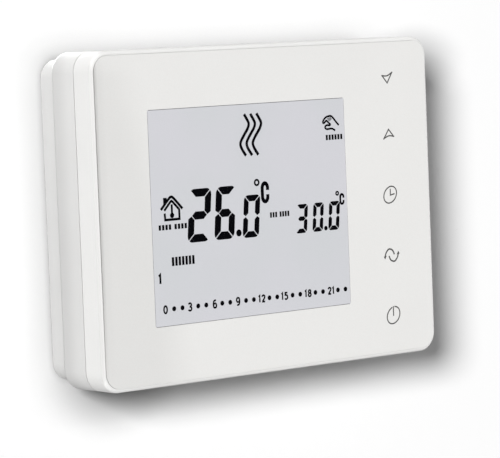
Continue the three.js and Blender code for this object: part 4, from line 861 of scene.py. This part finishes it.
class Display(PlacedMarks):
    """Marks on the display, in millimetres right of and below the window's top left corner."""

    def __init__(self, back, front):
        self.marks = Marks(back, front)

    def at(self, right, down):
        """A place on the display, in the panel's x and z."""
        return (window_low.x + right, window_high.z - down)

    def disc(self, right, down, radius):
        """A round dot."""
        self.marks.disc(*self.at(right, down), radius)

    def segments(self, figure, right, bottom, width, height, thick, gap):
        """A seven-segment figure whose foot starts at right, leaning by the slant."""
        w, h, t, g = width, height, thick, gap
        m = h / 2
        bend = 0.7 * t
        top = [(p + g, q) for p, q in arc(bend, h - bend, bend, bend, 135, 90, 3)]
        side = [(p, q - g) for p, q in arc(bend, h - bend, bend, bend, 180, 135, 3)]
        shapes = {
            "a": [*top, *[(w - p, q) for p, q in top[::-1]], (w - t - g, h - t), (t + g, h - t)],
            "g": [(t / 2 + g, m), (t + g, m + t / 2), (w - t - g, m + t / 2),
                  (w - t / 2 - g, m), (w - t - g, m - t / 2), (t + g, m - t / 2)],
            "f": [*side, (t, h - t - g), (t, m + t / 2 + g * 0.4), (t / 2, m + g * 0.7),
                  (0, m + t * 0.3 + g)],
        }
        shapes["d"] = [(x, h - z) for x, z in shapes["a"]]
        shapes["e"] = [(x, h - z) for x, z in shapes["f"]]
        shapes["b"] = [(w - x, z) for x, z in shapes["f"]]
        shapes["c"] = [(w - x, z) for x, z in shapes["e"]]
        for name in SEGMENTS[figure]:
            self.fill([(right + x + z * SLANT, bottom - z) for x, z in shapes[name]])

    def number(self, text, middle, bottom, height, width):
        """Plain figures centred on middle, drawn as lines."""
        advance = DIGIT_PITCH * height
        left = middle - advance * len(text) / 2 + DIGIT_INSET * height
        for i, figure in enumerate(text):
            for points in DIGIT_LINES[figure]:
                closed = math.dist(points[0], points[-1]) < SAME_POINT
                drawn = points[:-1] if closed else points
                self.line([(left + i * advance + DIGIT_STRETCH * x * height, bottom - z * height)
                           for x, z in drawn], width, closed)

    def degrees(self, right, down, ring, ring_thick, left, top, width, height, thick):
        """A degree ring and a C."""
        self.line(arc(right, down, ring, ring, 0, 345, 23), ring_thick, closed=True)
        x, z = left + width / 2, top + height / 2
        rx, rz = (width - thick) / 2, (height - thick) / 2
        shoulder = rz * 0.48
        points = arc(x, z - shoulder, rx, rz - shoulder, 0, -180, 12)
        points += arc(x, z + shoulder, rx, rz - shoulder, 180, 0, 12)
        self.line([(x + rx, z - 0.24 * rz), *points, (x + rx, z + 0.24 * rz)], thick)

    def blocks(self, left, right, top, bottom, groups):
        """A row of small plain blocks in groups, where a word stands in such a display."""
        slots = sum(groups) + BLOCK_SPACE * (len(groups) - 1)
        pitch = (right - left) / slots
        x = left
        for group in groups:
            for _ in range(group):
                end = x + BLOCK_WIDTH * pitch
                self.fill([(x, top), (end, top), (end, bottom), (x, bottom)])
                x += pitch
            x += BLOCK_SPACE * pitch


# Symbols as points right of and below the window's top left corner.
HEAT_WAVE = [(33.11, 2.66), (34.02, 4.03), (34.64, 5.30), (34.20, 6.60), (32.98, 8.16),
             (31.90, 9.61), (31.46, 10.73), (31.95, 12.09), (33.28, 13.95)]
HAND_BACK = [(61.62, 6.77), (61.42, 6.25), (61.88, 5.58), (62.66, 5.01), (63.49, 4.82),
             (64.21, 4.75), (64.83, 5.01), (65.45, 5.58), (66.28, 6.51), (67.26, 7.44)]
HAND_PALM = [(61.62, 6.77), (62.14, 6.41), (62.72, 5.98), (63.38, 6.51), (64.10, 7.08),
             (63.80, 7.36), (63.07, 7.25), (62.40, 7.42), (62.16, 7.85), (62.52, 8.25),
             (63.10, 8.38), (64.11, 8.27), (64.93, 8.37), (65.86, 8.89)]
HOUSE_ROOF = [(3.18, 26.57), (5.9, 23.85), (6.83, 23.32), (7.76, 23.85), (10.51, 26.68)]
HOUSE_CHIMNEY = [(4.07, 23.43), (5.31, 23.43), (5.31, 24.50), (4.07, 25.70)]
HOUSE_WALLS = [(4.30, 26.86), (6.43, 24.66), (6.84, 24.40), (7.26, 24.66), (9.38, 26.80),
               (9.38, 29.34), (4.54, 29.34), (4.40, 27.57)]

# The row of hours: its first place, its pitch and its fall to the right, with small shifts of
# single places, the heights of hours with one and two figures, and the lines' and dots' sizes.
HOUR_START, HOUR_PITCH = 3.42, 2.787
HOUR_DOWN, HOUR_FALL = 53.16, 0.009
HOUR_NUDGE = {1: 0.12, 2: 0.16, 6: 0.25, 15: -0.18, 21: 0.38}
HOUR_HEIGHTS = (2.12, 1.9)
HOUR_LINE = 0.49
HOUR_DOT = 0.67


def rectangle(low, high, inset=0.0):
    """The corners of a rectangle between two places, in x and z."""
    left, right = low.x + inset, high.x - inset
    bottom, top = low.z + inset, high.z - inset
    return [(left, bottom), (right, bottom), (right, top), (left, top)]


def show_waves(shown):
    """Three heat waves."""
    for i in range(3):
        shown.line(smooth([(x + 2.19 * i, z) for x, z in HEAT_WAVE]), 0.86)


def show_hand(shown):
    """A hand with short strokes on its back, over a word's plain blocks."""
    shown.line(smooth(HAND_BACK), 0.56)
    shown.line(smooth(HAND_PALM), 0.54)
    for i in range(4):
        shown.line([(63.0 + 0.38 * i, 5.35 - 0.08 * i), (63.9 + 0.28 * i, 6.2 - 0.16 * i)], 0.17)
    shown.blocks(62.3, 68.75, 9.95, 11.4, [6])


def show_house(shown):
    """A house with a thermometer in it, over two words' plain blocks."""
    shown.line(smooth(HOUSE_ROOF, 8), 0.74)
    shown.fill(HOUSE_CHIMNEY)
    shown.line(HOUSE_WALLS, 0.68)
    shown.line([(6.90, 25.30), (6.90, 28.0)], 0.68)
    shown.disc(6.90, 28.25, 0.72)
    shown.blocks(2.2, 12.15, 30.6, 32.0, [4, 4])


def show_room_reading(shown):
    """The room's temperature in large figures."""
    shown.segments("2", 11.77, 36.05, 7.65, 14.30, 2.15, 0.20)
    shown.segments("6", 21.04, 36.05, 6.97, 14.30, 2.15, 0.20)
    shown.disc(29.72, 34.70, 0.95)
    shown.segments("0", 30.97, 36.25, 5.75, 11.55, 1.70, 0.17)
    shown.degrees(36.68, 21.45, 0.72, 0.56, 38.0, 21.3, 3.0, 6.05, 1.10)


def show_set_reading(shown):
    """The set temperature in small figures, after two words' plain blocks."""
    shown.blocks(41.0, 48.2, 29.95, 31.4, [3, 4])
    shown.segments("3", 49.95, 36.50, 4.15, 8.00, 1.24, 0.13)
    shown.segments("0", 56.12, 36.50, 3.83, 8.00, 1.24, 0.13)
    shown.disc(61.10, 35.80, 0.64)
    shown.segments("0", 61.95, 36.50, 4.00, 8.00, 1.24, 0.13)
    shown.degrees(65.75, 26.40, 0.46, 0.46, 66.5, 26.45, 1.85, 3.3, 0.66)


def show_day_and_hours(shown):
    """A word's plain blocks, the day's number, and the hours with two dots between each."""
    shown.blocks(6.2, 14.3, 39.4, 41.75, [7])
    shown.number("1", 2.05, 46.15, 2.50, 0.68)
    for hour in range(24):
        middle = HOUR_START + HOUR_PITCH * hour + HOUR_NUDGE.get(hour, 0.0)
        down = HOUR_DOWN + HOUR_FALL * hour
        if hour % 3 == 0:
            text = str(hour)
            height = HOUR_HEIGHTS[len(text) - 1]
            shown.number(text, middle, down + height / 2, height, HOUR_LINE)
        else:
            shown.disc(middle, down, HOUR_DOT)


def add_display():
    """The display's ground, its marks and the clear sheet over them, flush with the panel."""
    ground_front = panel_low.y + GROUND_DEPTH
    ground = Marks(window_high.y, ground_front)
    ground.fill(rectangle(window_low, window_high, GROUND_INSET))
    face = ground.piece("display_ground", display_back(), "thermostat_unit", "display_glass")

    shown = Display(ground_front, ground_front - MARK_RISE)
    show_waves(shown)
    show_hand(shown)
    show_house(shown)
    show_room_reading(shown)
    show_set_reading(shown)
    show_day_and_hours(shown)
    shown.marks.piece("display_marks", display_ink, "thermostat_unit", "display_glass")

    pane = Marks(panel_low.y + PANE_BACK, panel_low.y + PANE_FRONT)
    pane.fill(rectangle(window_low, window_high))
    pane.piece("display_pane", materials["clear_window"], "thermostat_unit", "clear_window")
    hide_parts("display_window")


# ---------------------------------------------------------------- the rest of the frame

def paint_frame():
    """Every carried-over CAD node takes its record slot's finish."""
    for part in frame["record"]["subparts"]:
        node = nodes[part["node"]]
        if not node.hide_render:
            paint(node, materials[part["material_slot"]])
    paint(nodes["battery_2"], battery_sleeve("battery_2_wrap", "battery_2", -1))


# ---------------------------------------------------------------- stage and light

# How far the wall reaches from its middle, in about millimetres, how white it is where seen,
# and how much of that it gives back as light.
WALL_REACH = 4000.0
WALL_WHITE = 0.985
WALL_BOUNCE = 0.25
# How far the wall's opening lies inside the wall plate's outline.
OPENING_INSET = 0.25
# The room's level as a lamp.
ROOM_LEVEL = 0.26
# How far each painted contact shade, taken from ambient occlusion, reaches on the wall, in
# millimetres, and how strong it is beside the object and above it. Between the two heights that
# follow, the one turns into the other.
CONTACT_SHADES = ((15.0, 0.50, 0.57), (2.0, 0.26, 0.26), (5.0, 0.0, 0.32))
ABOVE_START, ABOVE_FULL = 38.0, 44.0
CONTACT_SAMPLES = 16
# Soft painted shadow on the wall at the two ends of the shadow: the middle's x and z, the half
# width and half height in millimetres, and the strength.
END_SHADES = ((77.0, 37.2, 24.5, 12.75, 0.50), (-37.5, -46.0, 25.5, 17.5, 0.55))

# Each lamp: the way towards it, a normal, the brightness that it gives a white surface with
# that normal, and its width in degrees.
RIGHT, FRONT, BACK, UP = (1, 0, 0), (0, -1, 0), (0, 1, 0), (0, 0, 1)
WALL_LAMPS = {
    "wall_key": ((-1.29, -1.0, 0.425), FRONT, 0.785, 16),
}
OBJECT_LAMPS = {
    "soft_key": ((-1.12, -1.0, 0.22), FRONT, 0.755, 150),
    "right_fill": ((0.90, -0.05, -0.10), RIGHT, 0.20, 60),
    "back_fill": ((0.32, 1.0, 0.25), BACK, 0.55, 30),
    "top_fill": ((0.0, 0.20, 1.0), UP, 0.28, 30),
}


def wall_material():
    """White paint with painted shade close to the object and painted shadow at the shadow's two
    ends, that shows from the front only.
    """
    s = Shader("wall_paint")
    s.tree.nodes.remove(s.surface)
    paint_node = s.node("ShaderNodeBsdfDiffuse")
    clear = s.node("ShaderNodeBsdfTransparent")
    path = s.node("ShaderNodeLightPath").outputs["Is Camera Ray"]
    seen = WALL_WHITE
    # Painted contact shade: darker where ambient occlusion finds the object near.
    for reach, beside, above in CONTACT_SHADES:
        near = s.node("ShaderNodeAmbientOcclusion", samples=CONTACT_SAMPLES)
        near.inputs["Distance"].default_value = reach * MM
        power = s.span(s.axis("Z"), ABOVE_START, ABOVE_FULL, beside, above)
        seen = s.maths("MULTIPLY", s.maths("POWER", near.outputs["AO"], power), seen)
    # Painted shadow at the shadow's two ends.
    for x, z, half_x, half_z, strength in END_SHADES:
        away = s.node("ShaderNodeVectorMath", operation="DISTANCE")
        s.link(s.coordinates((1.0 / half_x, 1.0, 1.0 / half_z)), away.inputs[0])
        away.inputs[1].default_value = (x / half_x, 0.0, z / half_z)
        fading = s.span(away.outputs["Value"], 0.0, 1.0, 1.0 - strength, 1.0, "SMOOTHSTEP")
        seen = s.maths("MULTIPLY", fading, seen)
    white = s.span(path, 0.0, 1.0, WALL_BOUNCE, 1.0)
    s.link(s.maths("MULTIPLY", white, seen), paint_node.inputs["Color"])
    behind = s.maths("MULTIPLY", s.node("ShaderNodeNewGeometry").outputs["Backfacing"], path)
    mix = s.node("ShaderNodeMixShader")
    s.link(behind, mix.inputs["Fac"])
    s.link(paint_node.outputs["BSDF"], mix.inputs[1])
    s.link(clear.outputs["BSDF"], mix.inputs[2])
    s.link(mix.outputs["Shader"], s.tree.nodes["Material Output"].inputs["Surface"])
    return s.material


def add_wall():
    """The wall plane, open behind the wall plate as it is over a wall box."""
    width, height, corner = PLATE
    radius = corner - OPENING_INSET
    opening = []
    for x, z, start in ((1, 1, 0), (-1, 1, 90), (-1, -1, 180), (1, -1, 270)):
        opening += arc(x * (width / 2 - corner), z * (height / 2 - corner), radius, radius,
                       start, start + 90, 8)
    bm = bmesh.new()
    inner, outer = ([bm.verts.new((x * grown * MM, 0.0, z * grown * MM)) for x, z in opening]
                    for grown in (1.0, WALL_REACH / (BODY[0] / 2)))
    for i in range(len(inner)):
        j = (i + 1) % len(inner)
        face = bm.faces.new((inner[i], inner[j], outer[j], outer[i]))
        face.normal_update()
        if face.normal.y > 0:
            face.normal_flip()
    mesh = bpy.data.meshes.new("wall")
    bm.to_mesh(mesh)
    bm.free()
    wall = bpy.data.objects.new("wall", mesh)
    paint(wall, wall_material())
    scene.collection.objects.link(wall)
    wall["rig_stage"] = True
    return wall


def add_lamp(name, toward, facing, level, width):
    """A distant round lamp."""
    way = Vector(toward).normalized()
    data = bpy.data.lights.new(name, "SUN")
    data.energy = math.pi * level / way.dot(Vector(facing))
    data.angle = math.radians(width)
    lamp = bpy.data.objects.new(name, data)
    lamp.rotation_mode = "QUATERNION"
    lamp.rotation_quaternion = way.to_track_quat("Z", "Y")
    scene.collection.objects.link(lamp)
    return lamp


def add_lamps(wall):
    """The wall's own lamp casts the object's shadow there, and softer ones light the object."""
    lit_wall = bpy.data.collections.new("lit_wall")
    lit_wall.objects.link(wall)
    for name, settings in WALL_LAMPS.items():
        add_lamp(name, *settings).light_linking.receiver_collection = lit_wall
    lit_all = bpy.data.collections.new("lit_object")
    lit_sides = bpy.data.collections.new("lit_sides")
    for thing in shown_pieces():
        lit_all.objects.link(thing)
        if not thing.name.startswith(("panel", "display", "key")):
            lit_sides.objects.link(thing)
    for name, settings in OBJECT_LAMPS.items():
        linking = add_lamp(name, *settings).light_linking
        linking.receiver_collection = lit_all if name == "soft_key" else lit_sides
        linking.blocker_collection = lit_all


def add_room():
    """Even white surroundings: bright where seen or mirrored, weaker as a lamp."""
    world = bpy.data.worlds.new("room")
    scene.world = world
    world.use_nodes = True
    tree = world.node_tree
    tree.nodes.clear()
    path = tree.nodes.new("ShaderNodeLightPath")
    level = path.outputs["Is Camera Ray"]
    for output in ("Is Glossy Ray", "Is Transmission Ray"):
        widest = tree.nodes.new("ShaderNodeMath")
        widest.operation = "MAXIMUM"
        tree.links.new(level, widest.inputs[0])
        tree.links.new(path.outputs[output], widest.inputs[1])
        level = widest.outputs["Value"]
    spread = tree.nodes.new("ShaderNodeMapRange")
    spread.inputs["To Min"].default_value = ROOM_LEVEL
    spread.inputs["To Max"].default_value = 1.0
    ground = tree.nodes.new("ShaderNodeBackground")
    out = tree.nodes.new("ShaderNodeOutputWorld")
    tree.links.new(level, spread.inputs["Value"])
    tree.links.new(spread.outputs["Result"], ground.inputs["Strength"])
    tree.links.new(ground.outputs["Background"], out.inputs["Surface"])


add_camera()
add_shells()
add_key_marks()
add_display()
paint_frame()
add_lamps(add_wall())
add_room()
scene.view_settings.view_transform = "Standard"
